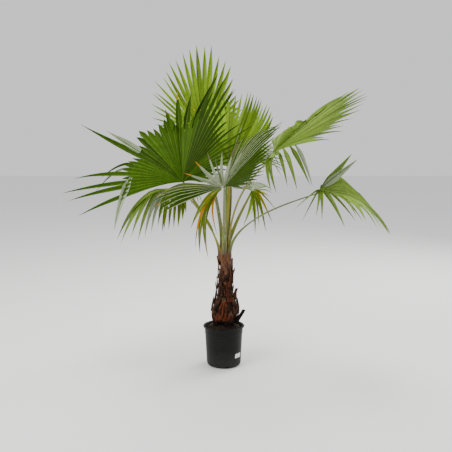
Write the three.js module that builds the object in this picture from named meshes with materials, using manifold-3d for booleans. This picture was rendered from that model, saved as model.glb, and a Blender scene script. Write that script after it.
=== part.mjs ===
// Mexican fan palm in a black nursery pot.
// Millimetres, +Z up. The origin is the centre of the pot's flat underside, the crown stands above it,
// +X is to the right and +Y to the back.
import * as THREE from 'three';
import Module from 'manifold-3d';

const wasm = await Module();
wasm.setup();

// ---- Driving dimensions -------------------------------------------------------------------------
const CLEARANCE = 0.35; // gap kept between neighbouring solids

const POT_HEIGHT = 254;
const POT_RIM_RADIUS = 129;
const POT_NECK_RADIUS = 119.5; // outside wall just under the rolled lip
const POT_BASE_RADIUS = 107; // outside wall just above the rounded foot
const POT_FOOT_RADIUS = 22; // rounding between the wall and the underside
const POT_WALL = 3;
const POT_LIP_HEIGHT = 9;
const POT_SEGMENTS = 36;
const DRAIN_SLOTS = 8;
const DRAIN_WIDTH = 16;
const DRAIN_HEIGHT = 9;

const SOIL_TOP = 240;
const LABEL_ANGLE = -37; // degrees round the pot from +X
const LABEL_WIDTH = 52;
const LABEL_BOTTOM = 64;
const LABEL_HEIGHT = 27;

// Stem: height and radius of the root bulb, the waist and the neck under the crown.
const STEM = [
  [240.4, 57], [285, 66], [320, 76], [350, 78], [381, 73], [426, 55], [464, 45.5], [502, 42.5],
  [566, 39], [656, 33], [730, 30], [770, 24],
];
const STEM_SIDES = 18;
const STEM_LEAN = [4, 14]; // offset along +X at the foot and at the neck

// Old leaf bases: angle round the stem, height of foot, length, width, thickness, outward lean, turn.
const LEAF_BASES = [
  [-18, 274, 86, 36, 22, 0.62, 0],
  [8, 326, 94, 46, 13, 0.22, 0],
  [-12, 424, 66, 34, 12, 0.42, 0],
  [-64, 516, 104, 42, 9, 0.1, 46],
  [186, 348, 84, 18, 8, 0.28, 0],
  [166, 382, 84, 38, 10, 0.14, 0],
  [184, 606, 86, 26, 8, 0.34, 0],
  [-58, 418, 126, 54, 10, 0.05, -36],
  [-108, 300, 140, 92, 13, 0.06, 10],
  [-38, 340, 92, 48, 11, 0.12, 0],
  [-66, 256, 96, 80, 13, 0.12, 0],
  [-146, 256, 108, 76, 13, 0.12, 0],
  [84, 292, 120, 80, 14, 0.14, 0],
  [132, 262, 100, 70, 13, 0.2, 0],
  [44, 268, 104, 66, 13, 0.22, 0],
  [60, 410, 120, 52, 10, 0.14, 20],
  [124, 440, 120, 46, 10, 0.16, 0],
  [24, 548, 120, 38, 9, 0.12, 0],
  [-122, 452, 130, 44, 9, 0.05, 0],
];

const BLADE = 3.2; // thickness of a frond's blade
const SPAN = 150; // degrees from the midrib at which a frond's edge would close on its stalk
const PLEAT = 0.22; // depth of a pleat as a share of its half width
const RAY_STEPS = 20;
const ROWS = [0, 0.12, 0.26, 0.42, 0.54, 0.7, 0.85, 1];

// Fronds. hub: where the stalk meets the blade; azimuth, elevation and roll aim the blade's midrib and
// face; fold lifts both sides into a trough; reach is the midrib's length; taper and skew shorten the
// outer leaflets by the power curve (2 unless given); droop and limp bend the leaflets down; gather
// draws the middle leaflets together at the hub; from/to are the first and last leaflet edge in
// degrees; split is where leaflets part. A zone changes a run of leaflets: a kink folds them at onset.
const FRONDS = {
  left: {
    hub: [-246, -90, 1158], azimuth: 94, elevation: 57, roll: 24, fold: 20, reach: 688, taper: 0.1, skew: -0.08,
    droop: 0.17, limp: 0.25, gather: 0.2, from: -115, to: 88, count: 18, split: 0.54, colour: 0x4f7a1f,
    zones: [
      { from: -48, to: -14, reach: 0.76, kink: 0.3 },
      { from: -62, to: -49, reach: 1.08, droop: 0.05 },
      { from: -76, to: -62.1, onset: 0.56, kink: 1.2, reach: 0.98 },
      { from: -116, to: -76.1, reach: 0.96 },
    ],
    stalk: { root: [-22, -16, 700], rise: 150, run: 130, width: 24 },
  },
  top: {
    hub: [-130, 385, 1378], azimuth: 98, elevation: 85, roll: -4, fold: 5, reach: 634, taper: 0.98, curve: 1, skew: 0,
    droop: 0.03, limp: 0.2, gather: 0.2, from: -72, to: 64, count: 15, split: 0.54, colour: 0x8fae2a,
    zones: [],
    stalk: { root: [-8, 24, 716], rise: 260, run: 200, width: 22 },
  },
  centre: {
    hub: [33, 140, 1268], azimuth: 79, elevation: 72, roll: 5, fold: 8, reach: 456, taper: 0.7, skew: -0.06,
    droop: 0.07, limp: 0.28, gather: 0.2, from: -66, to: 78, count: 14, split: 0.54, colour: 0x86ab2c,
    zones: [],
    stalk: { root: [6, 12, 724], rise: 200, run: 200, width: 20 },
  },
  front: {
    hub: [0, -317, 1150], azimuth: 274, elevation: 27, roll: -32, fold: 8, reach: 625, taper: 0.3, skew: 0.18,
    droop: 0.2, limp: 0.2, gather: 0.2, from: -116, to: 168, count: 24, split: 0.42, colour: 0x8ea583,
    zones: [
      { from: 52, to: 114, lift: 14, droop: 0.05, onset: 0.48, kink: 1.15, reach: 1.13 },
      { from: 114, to: 136, lift: 6, droop: 0.05, reach: 0.85 },
      { from: 136, to: 146, lift: -4, droop: 1.2, reach: 0.8 },
      { from: 146, to: 157, lift: -8, droop: 2.2, reach: 1.08 },
      { from: 157, to: 170, lift: -8, droop: 3, reach: 1.3 },
    ],
    stalk: { root: [4, -30, 690], rise: 250, run: 160, width: 26 },
  },
  right: {
    hub: [296, 60, 1323], azimuth: -30, elevation: 29, roll: -24, fold: 3, reach: 665, taper: 0.3, skew: -0.03,
    droop: 0.1, limp: 0.27, gather: 0.45, from: -104, to: 112, count: 18, split: 0.54, colour: 0x7fa63a,
    zones: [
      { from: 48, to: 68, onset: 0.42, kink: 1.9, droop: 0.2, reach: 0.82, gather: 0.85, split: 0.42 },
      { from: 68, to: 90, onset: 0.28, kink: 2.2, droop: 0.3, reach: 0.74, gather: 0.8, split: 0.26 },
      { from: 90, to: 116, onset: 0.16, kink: 2.6, droop: 0.4, reach: 0.66, gather: 0.7, split: 0.26 },
      { from: -110, to: -48, lift: -14, reach: 0.85 },
    ],
    stalk: { root: [26, 2, 712], rise: 240, run: 220, width: 20 },
  },
  far_right: {
    hub: [572, -80, 1112], azimuth: -8, elevation: -12, roll: -7, fold: 13, reach: 550, taper: 0.27, skew: -0.07,
    droop: 1.03, limp: 0.5, gather: 0.2, from: -99, to: 126, count: 18, split: 0.54, colour: 0x6f9a3c,
    zones: [
      { from: -54, to: -36, lift: 42, droop: 0.05, reach: 0.58, split: 0.12 },
    ],
    stalk: { root: [32, -16, 694], rise: 120, run: 280, width: 15 },
  },
  low_right: {
    hub: [197, 253, 1070], azimuth: 62, elevation: 18.6, roll: -57, fold: -19, reach: 340, taper: 0.4, skew: -0.03,
    droop: 0.99, limp: 0.2, gather: 0.2, from: -62, to: 153, count: 13, split: 0.42, colour: 0x9cab38,
    zones: [],
    stalk: { root: [24, 18, 702], rise: 130, run: 140, width: 19 },
  },
  low_left: {
    hub: [-262, 262, 1085], azimuth: 168, elevation: -8, roll: 0, fold: 0, reach: 475, taper: 0.25, skew: 0,
    droop: 1.5, limp: 0.6, gather: 0.2, from: -115, to: 115, count: 17, split: 0.42, colour: 0x9fb233,
    zones: [],
    stalk: { root: [-26, 14, 690], rise: 150, run: 150, width: 18 },
  },
  back: {
    hub: [40, 392, 1212], azimuth: 93, elevation: 34, roll: 0, fold: 12, reach: 440, taper: 0.3, skew: 0,
    droop: 0.6, limp: 0.3, gather: 0.2, from: -95, to: 95, count: 16, split: 0.54, colour: 0x7d9c35,
    zones: [],
    stalk: { root: [8, 34, 696], rise: 160, run: 160, width: 20 },
  },
};

// The unopened leaf that stands in the middle of the crown.
const SPEAR = [[10, 0, 767], [12, 14, 1000], [26, 30, 1300], [40, 24, 1662]];
const SPEAR_RADIUS = 8.5;

// ---- Helpers ------------------------------------------------------------------------------------
const radians = THREE.MathUtils.degToRad;
const v3 = (a) => new THREE.Vector3(...a);

/** A BufferGeometry from a list of points and a list of triangles. */
function geometryOf(points, faces) {
  const g = new THREE.BufferGeometry();
  g.setAttribute('position', new THREE.Float32BufferAttribute(points.flatMap((p) => [p.x, p.y, p.z]), 3));
  g.setIndex(faces.flat());
  return g;
}

/** The closed solid of an indexed geometry, for joining and cutting, with its faces turned outwards. */
function solidOf(geometry) {
  const triVerts = new Uint32Array(geometry.index.array);
  const vertProperties = new Float32Array(geometry.getAttribute('position').array);
  const solid = new wasm.Manifold(new wasm.Mesh({ numProp: 3, vertProperties, triVerts }));
  if (solid.volume() > 0) return solid;
  for (let i = 0; i < triVerts.length; i += 3) {
    [triVerts[i + 1], triVerts[i + 2]] = [triVerts[i + 2], triVerts[i + 1]];
  }
  return new wasm.Manifold(new wasm.Mesh({ numProp: 3, vertProperties, triVerts }));
}

/** Back from a solid to a geometry with flat faces. */
function geometryFrom(solid) {
  const mesh = solid.getMesh();
  const n = mesh.numProp;
  const points = new Float32Array(mesh.numVert * 3);
  for (let i = 0; i < mesh.numVert; i++) {
    points.set(mesh.vertProperties.subarray(i * n, i * n + 3), i * 3);
  }
  const g = new THREE.BufferGeometry();
  g.setAttribute('position', new THREE.BufferAttribute(points, 3));
  g.setIndex(new THREE.BufferAttribute(new Uint32Array(mesh.triVerts), 1));
  return g;
}

/** The largest loose body of a solid. */
function largest(solid) {
  return solid.decompose().reduce((a, b) => (b.volume() > a.volume() ? b : a));
}

/** The solid less every cutter that it meets. */
function cutBy(solid, cutters) {
  let made = solid;
  for (const cutter of cutters) {
    made = made.subtract(cutter);
  }
  return largest(made);
}

/** Closed skin over a stack of rings with equal point counts, capped at both ends. */
function skin(rings) {
  const n = rings[0].length;
  const points = rings.flat();
  const faces = [];
  for (let r = 0; r + 1 < rings.length; r++) {
    for (let i = 0; i < n; i++) {
      const a = r * n + i;
      const b = r * n + ((i + 1) % n);
      faces.push([a, b, b + n], [a, b + n, a + n]);
    }
  }
  const last = (rings.length - 1) * n;
  for (let i = 1; i + 1 < n; i++) {
    faces.push([0, i + 1, i], [last, last + i, last + i + 1]);
  }
  return geometryOf(points, faces);
}

/** A tapering limb: sections set square to a curve. size(t) gives [half width, half depth]. */
function limb(curve, size, steps, sides, up, grow = 0) {
  const rings = [];
  for (let k = 0; k <= steps; k++) {
    const t = k / steps;
    const centre = curve.getPoint(t);
    const along = curve.getTangent(t);
    const across = new THREE.Vector3().crossVectors(along, up).normalize();
    const depth = new THREE.Vector3().crossVectors(across, along);
    const [w, d] = size(t);
    const ring = [];
    for (let i = 0; i < sides; i++) {
      const angle = (2 * Math.PI * (i + 0.5)) / sides;
      const p = centre.clone();
      p.addScaledVector(across, (w + grow) * Math.cos(angle));
      p.addScaledVector(depth, (d + grow) * Math.sin(angle));
      if (grow && k === 0) p.addScaledVector(along, -grow);
      if (grow && k === steps) p.addScaledVector(along, grow);
      ring.push(p);
    }
    rings.push(ring);
  }
  return skin(rings);
}

// ---- Pot, soil and label ------------------------------------------------------------------------
/** Outside radius of the pot's wall at a height. */
function wallRadius(z) {
  const top = POT_HEIGHT - POT_LIP_HEIGHT;
  return THREE.MathUtils.mapLinear(z, POT_FOOT_RADIUS, top, POT_BASE_RADIUS, POT_NECK_RADIUS);
}

/** A geometry whose equal corners are shared and whose collapsed triangles are dropped. */
function welded(g) {
  const position = g.getAttribute('position');
  const points = [];
  const index = [];
  const seen = new Map();
  for (let i = 0; i < position.count; i++) {
    const p = new THREE.Vector3().fromBufferAttribute(position, i);
    const key = [p.x, p.y, p.z].map((c) => Math.round(c * 1000)).join();
    if (!seen.has(key)) {
      seen.set(key, points.length);
      points.push(p);
    }
    index.push(seen.get(key));
  }
  const faces = [];
  for (let i = 0; i < g.index.count; i += 3) {
    const f = [0, 1, 2].map((k) => index[g.index.array[i + k]]);
    if (f[0] !== f[1] && f[1] !== f[2] && f[2] !== f[0]) faces.push(f);
  }
  return geometryOf(points, faces);
}

/** The solid turned from a profile of [radius, height] that starts and ends on the axis. */
function turned(profile, segments) {
  const g = new THREE.LatheGeometry(profile.map(([r, z]) => new THREE.Vector2(r, z)), segments);
  g.rotateX(Math.PI / 2);
  return solidOf(welded(g));
}

/** Tapered nursery pot with a rounded foot, a rolled lip and drain slots round the foot. */
function potSolid() {
  const lip = POT_HEIGHT - POT_LIP_HEIGHT;
  const foot = POT_FOOT_RADIUS;
  const round = [0, 20, 45, 70, 90].map((a) => [
    POT_BASE_RADIUS - foot + foot * Math.sin(radians(a)),
    foot - foot * Math.cos(radians(a)),
  ]);
  const inside = [90, 60, 30, 0].map((a) => [
    POT_BASE_RADIUS - foot + (foot - POT_WALL) * Math.sin(radians(a)),
    foot - (foot - POT_WALL) * Math.cos(radians(a)),
  ]);
  const shell = turned([
    [0, 0],
    ...round,
    [POT_NECK_RADIUS, lip],
    [POT_RIM_RADIUS - 2.5, lip + 0.6],
    [POT_RIM_RADIUS, lip + 3],
    [POT_RIM_RADIUS - 0.6, POT_HEIGHT - 2.4],
    [POT_RIM_RADIUS - 3.6, POT_HEIGHT],
    [POT_NECK_RADIUS + 1, POT_HEIGHT],
    [POT_NECK_RADIUS - POT_WALL, POT_HEIGHT - 5],
    ...inside,
    [0, POT_WALL],
  ], POT_SEGMENTS);
  const slots = [];
  for (let i = 0; i < DRAIN_SLOTS; i++) {
    const box = new THREE.BoxGeometry(26, DRAIN_WIDTH, DRAIN_HEIGHT);
    const angle = radians(-77 + (i * 360) / DRAIN_SLOTS);
    box.translate(POT_BASE_RADIUS, 0, 6 + DRAIN_HEIGHT / 2);
    box.rotateZ(angle);
    slots.push(solidOf(welded(box)));
  }
  return cutBy(shell, slots);
}

/** The soil that fills the pot, a little short of its wall and rim. */
function soilSolid() {
  const foot = POT_FOOT_RADIUS;
  const r = foot - POT_WALL - CLEARANCE * 2;
  const low = [0, 30, 60, 90].map((a) => [
    POT_BASE_RADIUS - foot + r * Math.sin(radians(a)),
    foot - r * Math.cos(radians(a)),
  ]);
  const inner = (z) => wallRadius(z) - POT_WALL - 1.2;
  return turned([
    [0, low[0][1]],
    ...low,
    [inner(SOIL_TOP - 6), SOIL_TOP - 6],
    [inner(SOIL_TOP) - 9, SOIL_TOP],
    [0, SOIL_TOP],
  ], POT_SEGMENTS);
}

/** A thin blank tag that follows the pot's wall. */
function labelGeometry() {
  const rings = [];
  const steps = 6;
  for (let k = 0; k <= steps; k++) {
    const ring = [];
    for (const [z, out] of [[LABEL_BOTTOM, 0], [LABEL_BOTTOM, 0.8], [LABEL_BOTTOM + LABEL_HEIGHT, 0.8],
      [LABEL_BOTTOM + LABEL_HEIGHT, 0]]) {
      const r = wallRadius(z) + CLEARANCE + out;
      const a = radians(LABEL_ANGLE) + ((k / steps - 0.5) * LABEL_WIDTH) / r;
      ring.push(new THREE.Vector3(r * Math.cos(a), r * Math.sin(a), z));
    }
    rings.push(ring);
  }
  return skin(rings);
}

// ---- Stem and old leaf bases --------------------------------------------------------------------
/** Axis of the stem at a height. */
function stemAxis(z) {
  const t = (z - STEM[0][0]) / (STEM[STEM.length - 1][0] - STEM[0][0]);
  return new THREE.Vector3(THREE.MathUtils.lerp(STEM_LEAN[0], STEM_LEAN[1], t), 0, z);
}

/** Mean radius of the stem at a height. */
function stemRadius(z) {
  for (let i = 1; i < STEM.length; i++) {
    if (z <= STEM[i][0]) {
      return THREE.MathUtils.mapLinear(z, STEM[i - 1][0], STEM[i][0], STEM[i - 1][1], STEM[i][1]);
    }
  }
  return STEM[STEM.length - 1][1];
}

/** The stem: a swollen foot, a waist and a slim neck, a little lobed in section. */
function stemGeometry(grow = 0) {
  const rings = STEM.map(([z, r], k) => {
    const ring = [];
    const centre = stemAxis(z);
    if (grow) centre.z += k === 0 ? -grow : k === STEM.length - 1 ? grow : 0;
    for (let i = 0; i < STEM_SIDES; i++) {
      const a = (2 * Math.PI * i) / STEM_SIDES;
      const bulge = 1 + 0.035 * Math.cos(3 * a + z / 60) + 0.02 * Math.cos(5 * a - z / 35);
      const reach = r * bulge + grow;
      ring.push(new THREE.Vector3(centre.x + reach * Math.cos(a), centre.y + reach * Math.sin(a), centre.z));
    }
    return ring;
  });
  return skin(rings);
}

/** An old leaf base: a flat scale that hugs the stem at its foot and leans out to a worn tip. */
function leafBaseGeometry([angle, foot, length, width, thickness, lean, turn], grow = 0) {
  const facing = radians(angle + turn / 2);
  const at = (t) => {
    const a = radians(angle + turn * t);
    const out = new THREE.Vector3(Math.cos(a), Math.sin(a), 0);
    const z = foot + length * t;
    const r = stemRadius(z) * 0.97 + thickness * 0.35 + lean * length * t ** 1.6 * 0.62;
    return stemAxis(z).addScaledVector(out, r);
  };
  const curve = new THREE.CatmullRomCurve3([0, 0.25, 0.5, 0.75, 1].map(at));
  const size = (t) => [(width / 2) * (1 - 0.72 * t ** 1.5), (thickness / 2) * (1 - 0.45 * t)];
  return limb(curve, size, 4, 6, new THREE.Vector3(Math.cos(facing), Math.sin(facing), 0), grow);
}

// ---- Fronds -------------------------------------------------------------------------------------
/** Midrib, side and upper-face directions of a frond. */
function aim({ azimuth, elevation, roll }) {
  const az = radians(azimuth);
  const el = radians(elevation);
  const ro = radians(roll);
  const out = new THREE.Vector3(Math.cos(el) * Math.cos(az), Math.cos(el) * Math.sin(az), Math.sin(el));
  const level = new THREE.Vector3(Math.sin(az), -Math.cos(az), 0);
  const face = new THREE.Vector3().crossVectors(level, out);
  const side = level.clone().multiplyScalar(Math.cos(ro)).addScaledVector(face, Math.sin(ro));
  const normal = face.clone().multiplyScalar(Math.cos(ro)).addScaledVector(level, -Math.sin(ro));
  return { out, side, normal };
}

/** How the leaflet at an angle bends, as the frond and its zones say. */
function traits(f, angle) {
  const droop = f.droop + f.limp * (angle / SPAN) ** 2;
  const t = { droop, gather: f.gather, split: f.split, onset: 0.4, kink: 0, lift: 0, reach: 1 };
  for (const zone of f.zones) {
    if (angle >= zone.from && angle <= zone.to) {
      Object.assign(t, zone);
    }
  }
  return t;
}

/** The line of one leaflet from the hub to its tip, as points at even shares of its length. */
function ray(f, angle) {
  const { out, side, normal } = aim(f);
  const t = traits(f, angle);
  const a = radians(angle);
  const shortened = 1 - f.taper * Math.abs(angle / SPAN) ** (f.curve ?? 2);
  const length = f.reach * shortened * (1 + f.skew * Math.sin(a)) * t.reach;
  const points = [v3(f.hub)];
  for (let k = 0; k < RAY_STEPS; k++) {
    const s = (k + 0.5) / RAY_STEPS;
    const b = a * (1 - t.gather * Math.max(0, 1 - s / 0.45) ** 2);
    const lift = radians(f.fold * Math.abs(Math.sin(b)) + t.lift);
    const d = out.clone().multiplyScalar(Math.cos(b)).addScaledVector(side, Math.sin(b));
    d.multiplyScalar(Math.cos(lift)).addScaledVector(normal, Math.sin(lift));
    const late = Math.max(0, (s - t.onset) / (1 - t.onset)) ** 1.5;
    const bend = THREE.MathUtils.smoothstep(s, t.onset, t.onset + 0.12);
    d.z -= t.droop * (0.25 * s + late) + t.kink * bend;
    points.push(points[k].clone().addScaledVector(d.normalize(), length / RAY_STEPS));
  }
  return points;
}

/** Point on a line of even steps. */
function along(line, s) {
  const x = Math.min(s * RAY_STEPS, RAY_STEPS - 1e-6);
  const k = Math.floor(x);
  return line[k].clone().lerp(line[k + 1], x - k);
}

/** A frond's blade: pleated from the hub out to where its leaflets part, then free tapering leaflets. */
function fanGeometry(f, grow = 0) {
  const n = f.count;
  const edgeAngle = (j) => THREE.MathUtils.lerp(f.from, f.to, j / n);
  const { normal } = aim(f);
  const edges = [];
  const splits = [];
  for (let j = 0; j <= n; j++) {
    edges.push(ray(f, edgeAngle(j)));
    const split = traits(f, edgeAngle(j)).split;
    splits.push(ROWS.findIndex((s) => s >= split - 1e-6));
  }
  const top = [];
  const low = [];
  const add = (p, up, thickness) => {
    top.push(p.clone().addScaledVector(up, thickness * 0.5 + grow));
    low.push(p.clone().addScaledVector(up, -thickness * 0.5 - grow));
    return top.length - 1;
  };
  const last = ROWS.length - 1;
  const hub = add(v3(f.hub), normal, BLADE);
  const shared = new Map();
  const sheet = [];
  const border = [];
  const up = (line, s, across) => {
    const d = along(line, Math.min(1, s + 0.05)).sub(along(line, Math.max(0, s - 0.05)));
    const u = new THREE.Vector3().crossVectors(across, d).normalize();
    return u.dot(normal) < 0 ? u.negate() : u;
  };
  const sharedVertex = (j, k) => {
    const key = j * 100 + k;
    if (!shared.has(key)) {
      const s = ROWS[k];
      const a = along(edges[Math.max(0, j - 1)], s);
      const b = along(edges[Math.min(n, j + 1)], s);
      const p = along(edges[j], s);
      if (grow && (j === 0 || j === n)) {
        p.addScaledVector(b.clone().sub(a).normalize(), j === 0 ? -grow : grow);
      }
      shared.set(key, add(p, up(edges[j], s, b.sub(a)), BLADE));
    }
    return shared.get(key);
  };
  for (let i = 0; i < n; i++) {
    const middle = ray(f, (edgeAngle(i) + edgeAngle(i + 1)) / 2);
    const part = Math.min(splits[i], splits[i + 1]);
    const start = ROWS[part];
    const across = along(edges[i + 1], start).sub(along(edges[i], start));
    const half = across.length() / 2;
    across.normalize();
    const rowOf = [];
    for (let k = 1; k <= last; k++) {
      const s = ROWS[k];
      const centre = along(middle, s);
      const tangent = along(middle, Math.min(1, s + 0.04)).sub(along(middle, s - 0.04)).normalize();
      if (s <= start) {
        const span = along(edges[i + 1], s).sub(along(edges[i], s));
        const u = up(middle, s, span);
        centre.addScaledVector(u, -PLEAT * span.length() * 0.5);
        rowOf.push([sharedVertex(i, k), add(centre, u, BLADE), sharedVertex(i + 1, k)]);
        continue;
      }
      across.addScaledVector(tangent, -across.dot(tangent)).normalize();
      const u = new THREE.Vector3().crossVectors(across, tangent).normalize();
      const rest = (s - start) / (1 - start);
      const w = half * (1 - rest ** 1.35) * (1 - 0.12 * rest);
      centre.addScaledVector(u, PLEAT * w * 0.5);
      if (k === last) {
        const tip = centre.addScaledVector(tangent, grow);
        rowOf.push([add(tip, u, BLADE * 0.6)]);
        continue;
      }
      const left = centre.clone().addScaledVector(across, -w - grow).addScaledVector(u, PLEAT * w);
      const right = centre.clone().addScaledVector(across, w + grow).addScaledVector(u, PLEAT * w);
      const leftId = k <= splits[i] ? sharedVertex(i, k) : add(left, u, BLADE);
      const rightId = k <= splits[i + 1] ? sharedVertex(i + 1, k) : add(right, u, BLADE);
      rowOf.push([leftId, add(centre, u, BLADE), rightId]);
    }
    sheet.push([hub, rowOf[0][0], rowOf[0][1]], [hub, rowOf[0][1], rowOf[0][2]]);
    for (let k = 0; k + 1 < rowOf.length; k++) {
      const [l, m, r] = rowOf[k];
      const next = rowOf[k + 1];
      if (next.length === 1) {
        sheet.push([l, next[0], m], [m, next[0], r]);
        continue;
      }
      sheet.push([l, next[0], next[1]], [l, next[1], m], [m, next[1], next[2]], [m, next[2], r]);
    }
    border.push(rowOf);
  }
  const count = top.length;
  const faces = [];
  const edgeUse = new Map();
  for (const [a, b, c] of sheet) {
    faces.push([a, b, c], [a + count, c + count, b + count]);
    for (const [p, q] of [[a, b], [b, c], [c, a]]) {
      edgeUse.set(p + ',' + q, [p, q]);
    }
  }
  for (const [p, q] of edgeUse.values()) {
    if (!edgeUse.has(q + ',' + p)) {
      faces.push([q, p, p + count], [q, p + count, q + count]);
    }
  }
  return solidOf(geometryOf([...top, ...low], faces));
}

/** A frond's stalk, from the neck of the stem to the underside of its blade. */
function stalkGeometry(f, grow = 0) {
  const { out, normal } = aim(f);
  const root = v3(f.stalk.root);
  const hub = v3(f.hub);
  const end = hub.clone().addScaledVector(out, 16).addScaledVector(normal, -f.stalk.width * 0.22);
  const arrive = hub.clone().sub(root).normalize().addScaledVector(out, 0.35).normalize();
  const curve = new THREE.CubicBezierCurve3(
    root,
    root.clone().add(new THREE.Vector3(root.x * 0.15, root.y * 0.15, f.stalk.rise)),
    end.clone().addScaledVector(arrive, -f.stalk.run),
    end,
  );
  const w = f.stalk.width / 2;
  const size = (t) => {
    const base = 1 + 0.55 * Math.max(0, 1 - t / 0.22) ** 2;
    const taper = 1 - 0.42 * t;
    return [w * base * taper, w * 0.5 * taper];
  };
  const facing = out.z > 0.9 ? new THREE.Vector3(root.x, root.y, 0).normalize() : new THREE.Vector3(0, 0, 1);
  return limb(curve, size, 11, 6, facing, grow);
}

/** The unopened leaf: a slim rod that narrows to its tip. */
function spearGeometry(grow = 0) {
  const curve = new THREE.CatmullRomCurve3(SPEAR.map(v3));
  const size = (t) => {
    const r = SPEAR_RADIUS * (1 - 0.85 * t ** 1.6);
    return [r, r * 0.8];
  };
  return limb(curve, size, 12, 6, new THREE.Vector3(0, 1, 0), grow);
}

// ---- Assembly -----------------------------------------------------------------------------------
const palm = new THREE.Group();
palm.name = 'mexican_fan_palm';

/** Adds one named part to the palm. */
function place(name, solid, colour, roughness) {
  const material = new THREE.MeshStandardMaterial({ color: colour, roughness, metalness: 0 });
  material.flatShading = true;
  const mesh = new THREE.Mesh(geometryFrom(solid), material);
  mesh.name = name;
  palm.add(mesh);
}

place('pot', potSolid(), 0x16161a, 0.5);
place('soil', soilSolid(), 0x2c2119, 0.95);
place('pot_label', solidOf(labelGeometry()), 0xf2f2ee, 0.6);

place('stem', solidOf(stemGeometry()), 0x5d4030, 0.9);
const stemCutter = solidOf(stemGeometry(CLEARANCE));

// Stalks first claim their place at the neck, each cut clear of the stem and of those before it.
const taken = [stemCutter];
const fans = {};
const fanCutters = [];
for (const [name, f] of Object.entries(FRONDS)) {
  fans[name] = cutBy(fanGeometry(f), fanCutters);
  fanCutters.push(fanGeometry(f, CLEARANCE));
}
place('spear_leaf', cutBy(solidOf(spearGeometry()), [stemCutter, ...fanCutters]), 0x7f9a35, 0.7);
taken.push(solidOf(spearGeometry(CLEARANCE)));
for (const [name, f] of Object.entries(FRONDS)) {
  const stalk = cutBy(solidOf(stalkGeometry(f)), [...taken, ...fanCutters]);
  taken.push(solidOf(stalkGeometry(f, CLEARANCE)));
  place('stalk_' + name, stalk, 0x8a9c4a, 0.6);
  place('fan_' + name, fans[name], f.colour, 0.65);
}
LEAF_BASES.forEach((base, i) => {
  const solid = cutBy(solidOf(leafBaseGeometry(base)), taken);
  taken.push(solidOf(leafBaseGeometry(base, CLEARANCE)));
  place('leaf_base_' + (i + 1), solid, 0x7a4a34, 0.9);
});

export default palm;
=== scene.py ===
"""Mexican fan palm in a black nursery pot: the finished looks, made around the packed frame.

Metres, +Z up, +X to the right, +Y to the back. The origin is the centre of the pot's flat underside.
Every frond follows the same rule as its solid: leaflets fan out from a hub, fold, droop and part.
"""

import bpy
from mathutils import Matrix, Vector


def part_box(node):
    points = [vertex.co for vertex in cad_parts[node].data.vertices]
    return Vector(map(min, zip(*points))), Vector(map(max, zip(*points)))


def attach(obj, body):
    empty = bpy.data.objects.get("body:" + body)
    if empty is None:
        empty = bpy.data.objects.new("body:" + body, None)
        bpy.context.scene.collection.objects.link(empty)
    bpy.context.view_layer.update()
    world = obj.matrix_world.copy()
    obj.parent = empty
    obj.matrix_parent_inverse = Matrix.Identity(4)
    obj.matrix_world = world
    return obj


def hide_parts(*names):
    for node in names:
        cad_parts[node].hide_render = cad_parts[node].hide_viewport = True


bl_info = {
    "name": "Potted fan palm",
    "version": (1, 0, 0),
    "blender": (4, 5, 0),
    "location": "View3D > Sidebar > Fan Palm",
    "description": "Builds the fronds, stem, pot and soil of a young fan palm around its packed frame",
    "category": "Add Mesh",
}

import math
import random

import bmesh
import bpy
import numpy as np
from bpy.props import (
    FloatProperty,
    FloatVectorProperty,
    IntProperty,
    PointerProperty,
)
from mathutils import Vector, noise

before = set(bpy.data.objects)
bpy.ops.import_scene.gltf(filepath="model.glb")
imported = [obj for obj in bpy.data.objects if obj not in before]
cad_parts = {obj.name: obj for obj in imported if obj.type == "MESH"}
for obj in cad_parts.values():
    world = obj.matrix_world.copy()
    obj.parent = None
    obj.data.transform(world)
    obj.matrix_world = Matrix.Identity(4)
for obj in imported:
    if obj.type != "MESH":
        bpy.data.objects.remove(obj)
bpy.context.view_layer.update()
POT_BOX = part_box("pot")
SOIL_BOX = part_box("soil")
BODY = "root"

# ---- Driving sizes ----------------------------------------------------------------------------------
POT_NECK = 0.1195  # outside radius just under the rolled lip
POT_BASE = 0.107  # outside radius just above the rounded foot
POT_FOOT = 0.022  # rounding between the wall and the underside
POT_LIP = 0.009  # height of the rolled lip
POT_STEP = 0.046  # depth under the rim of the step that a stacked pot rests on
POT_ROLL = 0.0034  # rounding of the lip's outer edge
POT_HOLLOW = (0.064, 0.0012)  # radius and depth of the hollow under the pot
POT_SIDES = 144
DRAIN_SLOTS = 8
DRAIN_FIRST = -77.0  # degrees round the foot to the first slot
DRAIN_SIZE = (0.026, 0.016, 0.009)  # through the wall, along it and up
DRAIN_BOTTOM = 0.006
LABEL_ANGLE = -37.0  # degrees round the wall to the tag's middle
LABEL_WIDTH = 0.052
LABEL_THICK = 0.0007
LABEL_GAP = 0.00035
LABEL_CURL = 0.0009  # how far its upper corners stand off the wall
MOUND = 0.030  # how far the soil rises round the stem
SOIL_GAP = 0.0008  # between the soil and the pot's wall and floor
SOIL_TOP_GAP = 0.0006  # the same at the soil's surface

# Height and radius of the stem's root bulb, waist and neck.
STEM = [
    (0.2404, 0.057), (0.285, 0.066), (0.320, 0.076), (0.350, 0.078), (0.381, 0.073), (0.426, 0.055),
    (0.464, 0.0455), (0.502, 0.0425), (0.566, 0.039), (0.656, 0.033), (0.730, 0.030), (0.770, 0.024),
]
STEM_LEAN = (0.004, 0.014)  # offset along +X at the foot and at the neck
BULB_SHADE = 0.298  # below this height the bulb's leaf bases take painted shade, dark near the soil
CROWN_FROM = 0.62  # above this height the stem is purple between its sheaths
FIBRE_LENGTH = 0.034

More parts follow.
